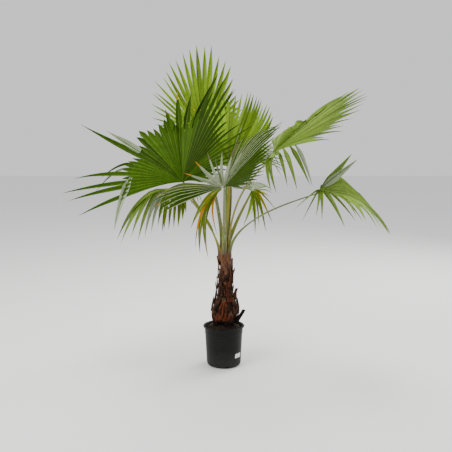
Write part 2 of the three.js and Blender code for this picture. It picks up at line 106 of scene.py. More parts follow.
# Old leaf bases: angle, foot, length, width, thickness, outward lean, turn, finish, ragged tip.
LEAF_BASES = [
    (-18, 0.274, 0.086, 0.032, 0.024, 0.66, 0, "dark", 0.1),
    (8, 0.326, 0.094, 0.046, 0.013, 0.22, 0, "brown", 0.4),
    (-12, 0.424, 0.066, 0.030, 0.018, 0.5, 0, "brown", 0.2),
    (-64, 0.506, 0.108, 0.046, 0.009, 0.26, 44, "rust", 0.2),
    (186, 0.348, 0.084, 0.018, 0.008, 0.28, 0, "dark", 0.2),
    (166, 0.382, 0.084, 0.038, 0.010, 0.14, 0, "brown", 0.4),
    (184, 0.606, 0.086, 0.026, 0.008, 0.34, 0, "purple", 0.2),
    (-58, 0.418, 0.128, 0.060, 0.010, 0.12, -38, "rust", 0.2),
    (-108, 0.300, 0.140, 0.090, 0.014, 0.08, 16, "ember", 0.3),
    (-38, 0.340, 0.092, 0.048, 0.011, 0.12, 0, "brown", 0.5),
    (-66, 0.256, 0.096, 0.080, 0.013, 0.12, 0, "rust", 0.3),
    (-146, 0.256, 0.108, 0.076, 0.013, 0.12, 0, "rust", 0.4),
    (84, 0.292, 0.120, 0.080, 0.014, 0.14, 0, "brown", 0.4),
    (132, 0.262, 0.100, 0.070, 0.013, 0.2, 0, "rust", 0.4),
    (44, 0.268, 0.104, 0.066, 0.013, 0.22, 0, "dark", 0.4),
    (60, 0.410, 0.120, 0.052, 0.010, 0.14, 20, "brown", 0.4),
    (124, 0.440, 0.120, 0.046, 0.010, 0.16, 0, "brown", 0.4),
    (24, 0.548, 0.120, 0.038, 0.009, 0.12, 0, "purple", 0.3),
    (-122, 0.452, 0.130, 0.040, 0.009, 0.08, -14, "brown", 0.4),
]

# The tones of a leaflet, in the order of its frond's palette, and the finishes of a stalk.
TONES = range(9)
# SHADE and LIGHT are a frond's green with painted shade and with painted light.
PLAIN, SHADE, LIGHT, RIB, YELLOW, ORANGE, DRY, SUNLIT, SILVERY = TONES
GREEN_SKIN, EDGE_SKIN, FOOT_BARK, TORN_BARK, YELLOW_SKIN, SHADED_SKIN, OLIVE_SKIN = range(7)

# Fronds. hub: where the stalk meets the blade; azimuth, elevation and roll aim the midrib and face;
# fold lifts both sides into a trough; reach is the midrib's length; taper and skew shorten the outer
# leaflets, by the power of curve; droop and limp bend them down; gather draws them together at the
# hub; first and last are the blade's edges in degrees; split is where the leaflets part, and full how
# long they stay wide; ribs scales their ribs; broken is the share of them that snaps.
# A stalk holds its first direction for its rise and its last for its run, and a bow swings it aside.
# Along gives a trait by angle. A zone, from one angle to another, changes a run of leaflets: a kink
# folds them at onset, girth widens their middle, tip scales the free end, rib is their rib's tone, a
# late tone starts where they part, a tip tone ends them, and skip leaves them out. A loose leaflet
# leaves the fan at an angle and a share of its reach, and ends at its own tip: then its width, its
# tone and, where they differ from the usual, that of its tip and how much it bows.
SPAN = 150.0  # degrees from the midrib at which a frond's edge would close on its stalk
STEPS = 40  # steps of a leaflet's line
GATHERED = 0.45  # share of a leaflet over which the hub draws it to the middle
KINK_RUN = 0.12  # share of a leaflet over which a kink bends it
SNAP_RUN = 0.06  # share of a leaflet over which a break bends it
HANGING_BOW, RISING_BOW = 0.38, 0.12  # how far a loose leaflet's curve follows its fan, by its length
LOOSE_TIP = 0.8  # share of a loose leaflet at which the tone of its tip starts
RIB_END = 0.9  # share of a leaflet at which its rib ends
FROND = dict(curve=2, skew=0, gather=0.2, full=1.35, ribs=1.0, broken=0.0, along={}, zones=[], loose=[])
STALK = dict(bow=0, skin=GREEN_SKIN, edge=EDGE_SKIN)
FRONDS = {
    "left": dict(
        hub=(-0.246, -0.090, 1.158), azimuth=94, elevation=57, roll=24, fold=20, reach=0.688, taper=0.1,
        skew=-0.08, droop=0.17, limp=0.25, first=-112, last=118, leaflets=43, split=0.5, palette="deep",
        stalk=dict(root=(-0.022, -0.016, 0.700), rise=0.150, run=0.130, width=0.026, skin=OLIVE_SKIN),
        along=dict(
            split=[(-112, 0.44), (-60, 0.45), (-50, 0.45), (-46, 0.48), (-42, 0.56), (-38, 0.6),
                   (-30, 0.58), (-22, 0.56), (-12, 0.54), (8, 0.53), (14, 0.6), (44, 0.56), (62, 0.42),
                   (118, 0.36)],
            full=[(-112, 1.35), (4, 1.35), (12, 2.4), (60, 2.2), (118, 1.5)],
            tip=[(-112, 0.14), (-48, 0.14), (-12, 0.2), (15, 0.2), (19, 0.35), (24, 0.75), (26, 0.8),
                 (29, 1.15), (35, 1.08), (41, 1.0), (44, 0.55), (57, 0.4), (61, 0.74), (64, 0.7),
                 (68, 0.42), (71, 0.9), (75, 0.9), (79, 0.64), (86, 0.5), (100, 0.5)],
            droop=[(-112, 0.12), (-90, 0.1), (-50, 0.04), (-47, 0.17)],
            reach=[(90, 1.0), (118, 0.55)],
        ),
        zones=[
            (-112, -60, dict(tone=LIGHT)),
            (-112, -107, dict(tip=0.9, girth=0.5)),
            (-101, -96, dict(tip=1.0, girth=0.5)),
            (-95, -91, dict(tip=1.05, girth=0.5)),
            (-84, -81, dict(droop=0.3, tip=0.84, girth=0.4)),
            (-57, -54, dict(droop=-0.02, tip=1.2, girth=1.0, full=1.1)),
            (-52, -49, dict(tip=0.7, girth=1.3, late_tone=SILVERY)),
            (21, 64, dict(tone=SHADE)),
        ],
        loose=[
            (-9, 0.52, (-0.361, 0.12, 1.590), 0.044, LIGHT, DRY),
            (-2, 0.52, (-0.290, 0.18, 1.697), 0.048, PLAIN, YELLOW),
            (5, 0.52, (-0.204, 0.20, 1.682), 0.046, SHADE, PLAIN),
            (15, 0.52, (-0.032, 0.20, 1.812), 0.046, SHADE),
            (-86, 0.43, (-0.634, -0.260, 0.895), 0.050, SILVERY, None, 0.08),
            (-74, 0.44, (-0.794, -0.030, 1.067), 0.018, SILVERY),
            (-68, 0.44, (-0.746, 0.003, 1.175), 0.018, PLAIN),
        ],
    ),
    "top": dict(
        hub=(-0.130, 0.385, 1.378), azimuth=98, elevation=85, roll=-4, fold=5, reach=0.634, taper=0.98,
        curve=1, droop=0.03, limp=0.2, first=-72, last=64, leaflets=27, split=0.42, palette="bright",
        full=3.0,
        stalk=dict(root=(-0.008, 0.024, 0.716), rise=0.260, run=0.200, width=0.026),
        along=dict(
            tip=[(-72, 1.07), (-40, 1.11), (-10, 1.11), (4, 1.07), (12, 0.96), (20, 1.04), (26, 0.86),
                 (34, 0.64)],
            split=[(-72, 0.34), (-40, 0.36), (-16, 0.44), (24, 0.46), (64, 0.36)],
            girth=[(-72, 0.45), (64, 0.45)],
        ),
    ),
    "centre": dict(
        hub=(0.033, 0.140, 1.268), azimuth=79, elevation=72, roll=5, fold=8, reach=0.456, taper=0.7,
        skew=-0.06, droop=0.07, limp=0.28, first=-66, last=78, leaflets=23, split=0.46,
        palette="bright", full=3.0,
        stalk=dict(root=(0.006, 0.012, 0.724), rise=0.200, run=0.200, width=0.026, bow=0.010,
                   skin=YELLOW_SKIN),
        along=dict(
            lift=[(-50, 0), (-10, -10), (10, -8), (20, -1), (30, -2), (42, 4), (54, 11), (66, 17),
                  (78, 8)],
            onset=[(-50, 0.4), (-10, 0.55), (10, 0.57), (20, 0.4), (42, 0.31), (66, 0.4), (78, 0.25)],
            kink=[(-50, 0), (-10, 0.3), (10, 0.59), (20, 0.24), (30, 0.12), (42, 0)],
            droop=[(-50, 0.1), (-10, -0.5), (10, -1.1), (20, -1.2), (42, -1.35), (78, -1.5)],
            reach=[(-50, 1), (-10, 1.02), (42, 1.02), (54, 1.1), (66, 1.2), (78, 1.22)],
            girth=[(-66, 0.45), (78, 0.45)],
        ),
    ),
    "front": dict(
        hub=(0, -0.317, 1.150), azimuth=274, elevation=27, roll=-32, fold=8, reach=0.625, taper=0.3,
        skew=0.18, droop=0.2, limp=0.2, first=-152, last=92, leaflets=38, split=0.46, palette="silver",
        ribs=0.85,
        stalk=dict(root=(0.004, -0.030, 0.690), rise=0.250, run=0.160, width=0.030),
        along=dict(
            lift=[(-150, -6), (-120, -5), (-90, 0), (-75, 5), (-45, 8), (-18, 5), (-6, 3), (54, 12),
                  (74, 10), (84, 5), (94, 0)],
            onset=[(-150, 0.66), (-90, 0.65), (-75, 0.58), (-45, 0.46), (-30, 0.43), (-18, 0.57),
                   (54, 0.5), (84, 0.6), (94, 0.69)],
            kink=[(-90, 0), (-60, 0.2), (-6, 0.05), (54, 0.1), (84, 0.16), (94, 0)],
            droop=[(-90, 0), (-60, 0.12), (-45, 0.45), (-30, 0.3), (-6, 0.1), (54, 0.32), (74, 0.2),
                   (104, 0.05)],
            reach=[(-150, 0.6), (-135, 0.95), (-120, 0.9), (-105, 0.84), (-90, 0.84), (-75, 0.89),
                   (-60, 0.99), (-30, 1.0), (-18, 0.87), (-6, 0.9), (54, 0.71), (74, 0.64), (94, 0.56)],
            split=[(-152, 0.5), (-90, 0.62), (-48, 0.55), (-20, 0.42), (-6, 0.3), (54, 0.62),
                   (100, 0.66)],
        ),
        zones=[
            (-152, -76, dict(tone=SHADE, rib=LIGHT)),
            (-76, -44, dict(tone=SHADE)),
            (-36, -32, dict(tone=SHADE)),
            (-23, -19, dict(tone=SHADE)),
            (-2, 53, dict(skip=True)),
            (53, 60, dict(tip_tone=YELLOW, tip=0.6)),
            (60, 66, dict(tip_tone=YELLOW, tip=0.8)),
            (72, 78, dict(tip_tone=ORANGE)),
            (79, 92, dict(tone=SHADE)),
        ],
        loose=[
            (-14, 0.04, (0.119, -0.780, 1.413), 0.017, SILVERY, DRY),
            (-8, 0.04, (0.078, -0.820, 1.435), 0.019, PLAIN, DRY),
            (0, 0.04, (0.053, -0.860, 1.392), 0.022, SILVERY, DRY),
            (10, 0.04, (-0.005, -0.885, 1.384), 0.026, SILVERY),
            (17, 0.04, (-0.040, -0.885, 1.355), 0.024, PLAIN),
            (24, 0.04, (-0.077, -0.860, 1.377), 0.028, SILVERY, DRY),
            (33, 0.04, (-0.141, -0.800, 1.330), 0.032, SILVERY, ORANGE),
            (42, 0.04, (-0.200, -0.720, 1.264), 0.026, SILVERY, ORANGE),
            (110, 0.05, (-0.190, -0.265, 0.906), 0.036, SUNLIT),
            (118, 0.05, (-0.165, -0.233, 0.784), 0.020, ORANGE, DRY),
            (126, 0.05, (-0.139, -0.211, 0.746), 0.044, SUNLIT),
            (138, 0.05, (-0.090, -0.188, 0.711), 0.044, SUNLIT, YELLOW),
            (150, 0.05, (-0.033, -0.169, 0.840), 0.016, ORANGE, DRY),
        ],
    ),
    "right": dict(
        hub=(0.296, 0.060, 1.323), azimuth=-30, elevation=29, roll=-24, fold=3, reach=0.665, taper=0.3,
        skew=-0.03, droop=0.1, limp=0.27, gather=0.45, first=-104, last=112, leaflets=46, split=0.6,
        palette="mid",
        stalk=dict(root=(0.026, 0.002, 0.712), rise=0.420, run=0.120, width=0.032, skin=OLIVE_SKIN),
        along=dict(
            lift=[(-104, 12), (-70, 10), (-46, 0)],
            reach=[(-104, 0.29), (-80, 0.32), (-66, 0.36), (-57, 0.46), (-52, 0.6), (-48, 0.84),
                   (-44, 1), (42, 1), (50, 0.3), (65, 0.25), (80, 0.2), (96, 0.14), (112, 0.12)],
            full=[(-104, 2), (-60, 2), (-44, 1.35), (42, 1.35), (60, 1.2)],
        ),
        zones=[
            (-104, -56, dict(split=0.95)),
            (-56, -48, dict(split=0.6, tip=0.12)),
            (-43, -38, dict(tip=0.85)),
            (-24, -19, dict(tip=0.8)),
            (-6, -1, dict(tip=0.72)),
            (4, 8, dict(tip=0.8)),
            (18, 23, dict(tip=0.66)),
            (32, 37, dict(tip=0.6)),
            (42, 51, dict(skip=True)),
            (51, 116, dict(split=0.92, tip=0.3)),
        ],
        loose=[
            (110, 0.37, (0.288, -0.010, 1.091), 0.032, LIGHT),
            (96, 0.39, (0.319, -0.038, 1.085), 0.032, PLAIN),
            (80, 0.63, (0.351, -0.124, 1.186), 0.014, SILVERY),
            (46, 0.16, (0.376, -0.146, 1.135), 0.026, PLAIN, None, 0.12),
            (42, 0.19, (0.432, -0.166, 1.116), 0.034, LIGHT, None, 0.12),
            (41, 0.32, (0.505, -0.181, 1.147), 0.032, PLAIN, None, 0.14),
            (41, 0.42, (0.512, -0.257, 1.146), 0.036, SILVERY, None, 0.14),
        ],
    ),
    "far_right": dict(
        hub=(0.572, -0.080, 1.112), azimuth=-8, elevation=-12, roll=-7, fold=13, reach=0.550,
        taper=0.27, skew=-0.07, droop=1.03, limp=0.5, first=-99, last=126, leaflets=42, split=0.54,
        palette="shade",
        stalk=dict(root=(0.032, -0.016, 0.694), rise=0.260, run=0.120, width=0.031, skin=OLIVE_SKIN,
                   edge=GREEN_SKIN),
        along=dict(
            lift=[(-70, 20), (-40, 36), (-15, 28), (10, 15), (40, 0)],
            onset=[(-15, 0.21), (10, 0.18), (40, 0.4)],
            kink=[(-60, 0.9), (-36, 1.3), (-15, 1.2), (10, 0.4), (40, 0)],
            droop=[(-36, 0.1), (-15, 0.2), (10, 1.0), (40, 0.95)],
            reach=[(-99, 0.3), (-60, 0.45), (-36, 0.98), (-15, 0.98), (10, 0.98), (44, 0.98), (60, 0.6),
                   (80, 0.3)],
        ),
        zones=[
            (-99, -60, dict(tip=0.4)),
            (56, 126, dict(split=0.2, tip=0.15)),
        ],
        loose=[
            (-56, 0.05, (0.783, 0.040, 1.322), 0.052, PLAIN),
            (-42, 0.05, (0.786, -0.150, 1.300), 0.054, SILVERY),
            (122, 0.05, (0.415, -0.100, 0.989), 0.012, PLAIN),
            (112, 0.05, (0.468, -0.101, 0.920), 0.013, SHADE),
            (96, 0.06, (0.553, -0.103, 0.953), 0.022, PLAIN),
            (86, 0.06, (0.588, -0.103, 0.932), 0.026, PLAIN),
            (68, 0.12, (0.724, -0.135, 0.889), 0.036, PLAIN),
            (58, 0.30, (0.777, -0.209, 0.936), 0.018, SHADE),
            (48, 0.36, (0.815, -0.220, 0.937), 0.016, PLAIN),
        ],
    ),
    "low_right": dict(
        hub=(0.180, 0.253, 1.068), azimuth=62, elevation=18.6, roll=-57, fold=-19, reach=0.340,
        taper=0.4, skew=-0.03, droop=0.99, limp=0.2, first=-62, last=153, leaflets=34, split=0.42,
        palette="bright",
        stalk=dict(root=(0.024, 0.018, 0.702), rise=0.130, run=0.140, width=0.028, skin=OLIVE_SKIN),
        along=dict(
            lift=[(-62, -31), (-45, -20), (-30, -16), (-15, -11), (0, -6), (12, -4), (22, -9)],
            onset=[(-30, 0.16), (-15, 0.32), (0, 0.4), (12, 0.54)],
            kink=[(-62, 0.28), (-15, 0.26), (0, 0.21), (12, 0.1), (22, 0), (30, 0)],
            droop=[(-30, 0), (-15, 0.27), (0, 0.41), (12, 0.4), (22, 0.22), (40, 0.9)],
            reach=[(-62, 0.6), (-45, 0.58), (-30, 0.67), (-15, 1.0), (0, 0.9), (12, 1.0), (22, 1.1),
                   (30, 0.5), (60, 0.4)],
        ),
        zones=[
            (-62, 18, dict(tone=SILVERY)),
            (18, 26, dict(tone=YELLOW, split=0.2)),
            (26, 153, dict(split=0.3, tip=0.3)),
        ],
        loose=[
            (30, 0.08, (0.276, 0.303, 0.794), 0.030, SUNLIT),
            (20, 0.08, (0.320, 0.304, 0.847), 0.024, YELLOW, DRY),
            (8, 0.10, (0.349, 0.279, 0.929), 0.014, SUNLIT),
            (70, 0.08, (0.176, 0.266, 0.905), 0.012, PLAIN),
            (50, 0.08, (0.228, 0.250, 0.829), 0.018, SUNLIT),
            (100, 0.08, (0.200, 0.180, 0.800), 0.026, SUNLIT),
            (130, 0.08, (0.120, 0.120, 0.860), 0.024, PLAIN),
        ],
    ),
    "low_left": dict(
        hub=(-0.262, 0.262, 1.085), azimuth=168, elevation=-8, roll=0, fold=0, reach=0.475, taper=0.25,
        droop=1.5, limp=0.6, first=-115, last=115, leaflets=36, split=0.42, palette="mid",
        stalk=dict(root=(-0.026, 0.014, 0.690), rise=0.150, run=0.150, width=0.022, skin=OLIVE_SKIN),
        along=dict(
            lift=[(-112, -24), (-106, -22), (-99, -8), (-72, -4), (-62, -3), (-54, 2), (-28, 5),
                  (-12, 8), (20, 4)],
            onset=[(-112, 0.7), (-106, 0.5), (-99, 0.34), (-80, 0.46), (-62, 0.22), (-56, 0.3),
                   (-28, 0.32), (-20, 0.25), (-12, 0.26), (30, 0.35)],
            kink=[(-112, 1.0), (-70, 1.2), (-62, 1.4), (-36, 1.3), (-20, 0.55), (-12, 0.65), (20, 0.5)],
            droop=[(-112, 1.6), (-106, 2.3), (-50, 2.5), (-36, 2.25), (-28, 1.75), (-12, 1.25),
                   (20, 1.2)],
            reach=[(-112, 0.56), (-99, 0.79), (-72, 0.9), (-62, 0.72), (-56, 0.77), (-28, 1.18),
                   (-12, 1.35), (0, 0.7), (40, 0.7)],
            split=[(-115, 0.42), (-72, 0.4), (-62, 0.3), (-12, 0.28), (0, 0.42)],
            full=[(-112, 3), (-70, 2.6), (0, 2.4)],
            girth=[(-112, 0.5), (-70, 0.5), (-62, 0.8), (-45, 1.5), (-12, 1.7), (0, 0.3)],
        ),
        zones=[
            (-115, -66, dict(tone=SUNLIT)),
            (-54, -40, dict(late_tone=SILVERY)),
            (-12, -1, dict(skip=True)),
        ],
    ),
    "back": dict(
        hub=(0.040, 0.392, 1.212), azimuth=93, elevation=34, roll=0, fold=12, reach=0.440, taper=0.3,
        droop=0.6, limp=0.3, first=-95, last=95, leaflets=38, split=0.54, palette="mid", broken=0.03,
        stalk=dict(root=(0.008, 0.034, 0.696), rise=0.160, run=0.160, width=0.020, bow=0.020,
                   skin=SHADED_SKIN),
    ),
}
FRONDS = {name: {**FROND, **f, "stalk": {**STALK, **f["stalk"]}} for name, f in FRONDS.items()}

# The unopened leaf in the middle of the crown: the points that its rod passes through.
SPEAR = [(0.010, 0, 0.767), (0.012, 0.014, 1.000), (0.026, 0.030, 1.300), (0.040, 0.024, 1.662)]
SPEAR_RADIUS = 0.0085
SPEAR_ROWS, SPEAR_SIDES = 60, 36
SPEAR_RIDGES = 9
SPEAR_TWIST = 1.2  # radians from its foot to its tip
SPEAR_SMOOTHING = 24  # rounds that soften the bends at its points

# Rows of points along a leaflet, as shares of its length.
ROWS = np.array([
    0, 0.06, 0.12, 0.2, 0.28, 0.36, 0.42, 0.48, 0.54, 0.6, 0.66, 0.72, 0.78, 0.83, 0.88, 0.92, 0.96, 1,
])
BLADE_COLUMNS = 5  # points across a leaflet: its edges, the sides of its rib and the rib's ridge


# ---- Node trees -------------------------------------------------------------------------------------
class Wire:
    """A node's output. Arithmetic on it adds Math nodes to its tree."""

    def __init__(self, graph, socket):
        self.graph = graph
        self.socket = socket

    def __getitem__(self, name):
        """Another output of the same node."""
        return Wire(self.graph, self.socket.node.outputs[name])

    def maths(self, operation, *values):
        return self.graph.node("ShaderNodeMath", dict(enumerate(values)), operation=operation)

    def __add__(self, other):
        return self.maths("ADD", self, other)

    __radd__ = __add__

    def __mul__(self, other):
        return self.maths("MULTIPLY", self, other)

    __rmul__ = __mul__

    def __sub__(self, other):
        return self.maths("SUBTRACT", self, other)

    def __rsub__(self, other):
        return self.maths("SUBTRACT", other, self)

    def __truediv__(self, other):
        return self.maths("DIVIDE", self, other)

    def __abs__(self):
        return self.maths("ABSOLUTE", self)

    def floor(self):
        return self.maths("FLOOR", self)

    def sine(self):
        return self.maths("SINE", self)

    def over(self, limit):
        return self.maths("GREATER_THAN", self, limit)

    def clipped(self, low, high):
        """Runs from 0 at low to 1 at high, and stays there."""
        return self.graph.node("ShaderNodeMapRange", {"Value": self, "From Min": low, "From Max": high})


class Graph:
    """Fills one node tree, a material's or a Geometry Nodes group's."""

    def __init__(self, tree):
        self.tree = tree

    def node(self, kind, sockets=None, out=0, **settings):
        """Adds a node: its settings first, then the values or links of its sockets."""
        made = self.tree.nodes.new(kind)
        for name, value in settings.items():
            setattr(made, name, value)
        for key, value in (sockets or {}).items():
            if isinstance(value, Wire):
                self.tree.links.new(value.socket, made.inputs[key])
            else:
                made.inputs[key].default_value = value
        return Wire(self, made.outputs[out]) if len(made.outputs) else made

    def vector(self, operation, *values):
        return self.node("ShaderNodeVectorMath", dict(enumerate(values)), operation=operation)

    def scaled(self, vector, factor):
        return self.node("ShaderNodeVectorMath", {"Vector": vector, "Scale": factor}, operation="SCALE")

    def part(self, vector, axis):
        """A vector's X, Y or Z."""
        return self.node("ShaderNodeSeparateXYZ", {0: vector}, axis)

    def chance(self, low, high, seed):
        """A vector between two others, by chance."""
        sockets = {0: low, 1: high, "Seed": seed}
        return self.node("FunctionNodeRandomValue", sockets, data_type="FLOAT_VECTOR")

    def named(self, name, kind="FLOAT"):
        """The geometry's attribute of that name."""
        return self.node("GeometryNodeInputNamedAttribute", {"Name": name}, data_type=kind)

    def store(self, geometry, name, value, kind, domain):
        """The geometry with a value kept under a name."""
        sockets = {"Geometry": geometry, "Name": name, "Value": value}
        return self.node("GeometryNodeStoreNamedAttribute", sockets, data_type=kind, domain=domain)


class Recipe:
    """A Geometry Nodes group with named inputs, and the way to turn its result into a plain mesh."""

    KINDS = {float: "NodeSocketFloat", int: "NodeSocketInt", str: "NodeSocketMaterial"}

    def __init__(self, name, **inputs):
        self.name = name
        self.tree = bpy.data.node_groups.new(name, "GeometryNodeTree")
        self.graph = Graph(self.tree)
        self.identifiers = {}
        face = self.tree.interface
        face.new_socket("Geometry", in_out="INPUT", socket_type="NodeSocketGeometry")
        for key, value in inputs.items():
            kind = self.KINDS[type(value)]
            socket = face.new_socket(self.label(key), in_out="INPUT", socket_type=kind)
            if value != "material":
                socket.default_value = value
            self.identifiers[key] = socket.identifier
        face.new_socket("Geometry", in_out="OUTPUT", socket_type="NodeSocketGeometry")
        self.source = self.tree.nodes.new("NodeGroupInput")

    @staticmethod
    def label(key):
        return key.replace("_", " ").title()

    def given(self, key="geometry"):
        return Wire(self.graph, self.source.outputs[self.label(key)])

    def scattered(self):
        """Points strewn over the given surface."""
        sockets = {"Mesh": self.given(), "Density": self.given("density"), "Seed": self.given("seed")}
        return self.graph.node("GeometryNodeDistributePointsOnFaces", sockets, distribute_method="RANDOM")

    def finish_copies(self, points, thing, turn, size, finish):
        """Ends the tree with a copy of a thing at each point, in the finish that an input names."""
        sockets = {"Points": points, "Instance": thing, "Rotation": turn, "Scale": size}
        copies = self.graph.node("GeometryNodeInstanceOnPoints", sockets)
        self.finish(copies, (None, self.given(finish)))

    def finish(self, geometry, *finishes):
        """Ends the tree: real meshes, and each finish on the faces that its selection names."""
        made = self.graph.node("GeometryNodeRealizeInstances", {"Geometry": geometry})
        for selection, material in finishes:
            sockets = {"Geometry": made, "Material": material}
            if selection is not None:
                sockets["Selection"] = selection
            made = self.graph.node("GeometryNodeSetMaterial", sockets)
        self.graph.node("NodeGroupOutput", {0: made})

    def make(self, name, mesh, thickness=0.0, **values):
        """A new object with the plain mesh that the tree makes from the given one."""
        piece = new_piece(name, mesh)
        modifier = piece.modifiers.new(self.name, "NODES")
        modifier.node_group = self.tree
        for key, value in values.items():
            modifier[self.identifiers[key]] = value
        if thickness:
            wall = piece.modifiers.new("Thickness", "SOLIDIFY")
            wall.thickness = thickness
            wall.offset = 0.0
        return made_plain(piece)


# ---- Meshes -----------------------------------------------------------------------------------------
def new_piece(name, mesh):
    """A new object in the scene."""
    piece = bpy.data.objects.new(name, mesh)
    bpy.context.scene.collection.objects.link(piece)
    return piece


def made_plain(piece):
    """Gives a piece the plain mesh that its modifiers make, and removes them."""
    source = piece.data
    seen = piece.evaluated_get(bpy.context.evaluated_depsgraph_get())
    plain = bpy.data.meshes.new_from_object(seen)
    piece.modifiers.clear()
    piece.data = plain
    bpy.data.meshes.remove(source)
    plain.name = piece.name
    return piece


def mesh_of(name, points, faces=(), materials=(), tones=None):
    """A mesh with a finish for each face."""
    mesh = bpy.data.meshes.new(name)
    mesh.from_pydata([tuple(p) for p in points], [], [tuple(f) for f in faces])
    for material in materials:
        mesh.materials.append(material)
    if tones is not None:
        mesh.polygons.foreach_set("material_index", np.asarray(tones, np.int32))
    mesh.validate()
    return mesh


def guide_mesh(name, points, vectors, values):
    """Loose points that carry named vectors and values for a recipe."""
    mesh = mesh_of(name, points)
    for key, rows in vectors.items():
        rows = np.asarray(rows, np.float32).ravel()
        mesh.attributes.new(key, "FLOAT_VECTOR", "POINT").data.foreach_set("vector", rows)
    for key, rows in values.items():
        rows = np.asarray(rows, np.float32)
        mesh.attributes.new(key, "FLOAT", "POINT").data.foreach_set("value", rows)
    return mesh


def soften(mesh, angle):
    """Smooth shading, with sharp edges where faces meet at more than an angle in degrees."""
    mesh.polygons.foreach_set("use_smooth", np.ones(len(mesh.polygons), bool))
    mesh.set_sharp_from_angle(angle=math.radians(angle))


def outwards(mesh):
    """Turns every face of a closed mesh outwards, after its doubles are merged."""
    work = bmesh.new()
    work.from_mesh(mesh)
    bmesh.ops.remove_doubles(work, verts=work.verts, dist=1e-6)
    bmesh.ops.recalc_face_normals(work, faces=work.faces)
    work.to_mesh(mesh)
    work.free()


def solid_piece(name, points, faces, materials, tones, soft):
    """A piece from a closed mesh, turned outwards and softened under an angle in degrees."""
    mesh = mesh_of(name, points, faces, materials, tones)
    outwards(mesh)
    soften(mesh, soft)
    return new_piece(name, mesh)


def ring(radius, z, sides, x=0.0):
    """Points of a level ring round an upright line at x."""
    turns = [2 * math.pi * i / sides for i in range(sides)]
    return [(x + radius * math.cos(a), radius * math.sin(a), z) for a in turns]


def grid_faces(rows, columns, closed=True, start=0):
    """Quads of a grid of points, row after row; closed joins the last column to the first."""
    faces = []
    for r in range(rows - 1):
        for c in range(columns if closed else columns - 1):
            a = start + r * columns + c
            b = start + r * columns + (c + 1) % columns
            faces.append((a, b, b + columns, a + columns))
    return faces


def tube_faces(rows, columns):
    """Quads of a tube of rings, then its two ends."""
    last = (rows - 1) * columns
    ends = [tuple(reversed(range(columns))), tuple(last + i for i in range(columns))]
    return grid_faces(rows, columns) + ends


def shell_faces(rows, columns):
    """Quads of two skins of a grid, one's points after the other's, then of their sides and ends."""
    count = rows * columns
    outer = grid_faces(rows, columns, closed=False)
    inner = [tuple(count + i for i in reversed(face)) for face in outer]
    sides = [(r * columns + c, columns) for r in range(rows - 1) for c in (0, columns - 1)]
    ends = [(r * columns + c, 1) for r in (0, rows - 1) for c in range(columns - 1)]
    border = [(a, a + step, a + step + count, a + count) for a, step in sides + ends]
    return outer + inner + border


def settle(piece, slot, *nodes):
    """Makes a finished piece ride on the plant and stand for its solids. Its slot is not used."""
    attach(piece, BODY)
    if nodes:
        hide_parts(*nodes)
    return piece


def smoothstep(x, low, high):
    """Rises gently from 0 at low to 1 at high."""
    t = np.clip((x - low) / (high - low), 0, 1)
    return t * t * (3 - 2 * t)


def unit(v):
    """Vectors of the same directions and length 1."""
    v = np.asarray(v, float)
    return v / np.maximum(np.linalg.norm(v, axis=-1, keepdims=True), 1e-9)


# ---- Finishes ---------------------------------------------------------------------------------------
VEINS = 9  # fine veins across a leaflet
BROWNING = (0.715, 0.800)  # heights between which a stalk's brown foot turns green
PALETTE_SLOTS = {
    "deep": "blade_deep",
    "mid": "blade_mid",
    "shade": "blade_mid",
    "bright": "blade_bright",
    "silver": "blade_silver",
}


def linear(hex_colour):
    """The linear colour of a six-digit screen colour."""
    parts = [int(hex_colour[i : i + 2], 16) / 255 for i in (0, 2, 4)]
    return tuple(p / 12.92 if p <= 0.04045 else ((p + 0.055) / 1.055) ** 2.4 for p in parts)


def rgba(colour, gain=1.0):
    """A colour with its alpha, lighter or darker by a gain."""
    return (*[min(1.0, c * gain) for c in colour[:3]], 1.0)


class Finish:
    """A material being made: its graph, its shader and the coordinates that its patterns use."""

    def __init__(self, name, gloss):
        self.material = bpy.data.materials.new(name)
        self.material.use_nodes = True
        self.graph = Graph(self.material.node_tree)
        self.shader = self.material.node_tree.nodes["Principled BSDF"]
        self.shader.inputs["Specular IOR Level"].default_value = gloss
        self.place = self.graph.node("ShaderNodeTexCoord", out="Object")

    def noise(self, scale, detail=3.0, vector=None, rough=0.55):
        sockets = {"Vector": vector or self.place, "Scale": scale, "Detail": detail, "Roughness": rough}
        return self.graph.node("ShaderNodeTexNoise", sockets)

    def stretched(self, x, y, z):
        """Object coordinates scaled by axis, for grain that runs one way."""
        return self.graph.vector("MULTIPLY", self.place, (x, y, z))

    def mix(self, factor, first, second):
        sockets = {0: factor, 6: first, 7: second}
        return self.graph.node("ShaderNodeMix", sockets, 2, data_type="RGBA")

    def done(self, colour, roughness, relief=None, strength=0.0, distance=0.0):
        """The material, once its colour, its roughness and its relief reach the shader."""
        feeds = {"Base Color": colour, "Roughness": roughness}
        if relief is not None:
            sockets = {"Height": relief, "Strength": strength, "Distance": distance}
            feeds["Normal"] = self.graph.node("ShaderNodeBump", sockets)
        for label, value in feeds.items():
            if isinstance(value, Wire):
                self.graph.tree.links.new(value.socket, self.shader.inputs[label])
            else:
                self.shader.inputs[label].default_value = value
        return self.material


def pot_plastic(colours):
    """Black moulded plastic, a little dusty towards the foot and scuffed in fine level lines."""
    f = Finish("black pot plastic", 0.15)
    blotches = f.noise(9.0)
    dust = (1 - f.graph.part(f.place, "Z").clipped(0.0, 0.12)) * f.noise(38.0, 5.0) * 0.5
    scuffs = f.noise(1.0, 4.0, f.stretched(14, 14, 260)).clipped(0.56, 0.74)
    colour = f.mix(blotches, rgba(colours.pot, 0.75), rgba(colours.pot, 1.35))
    colour = f.mix(dust + scuffs * 0.12, colour, rgba(colours.pot_dust))
    relief = f.noise(420.0, 2.0) * 0.4 + scuffs * 0.3
    return f.done(colour, 0.4 + blotches * 0.15 + dust * 0.3, relief, 0.12, 0.0006)


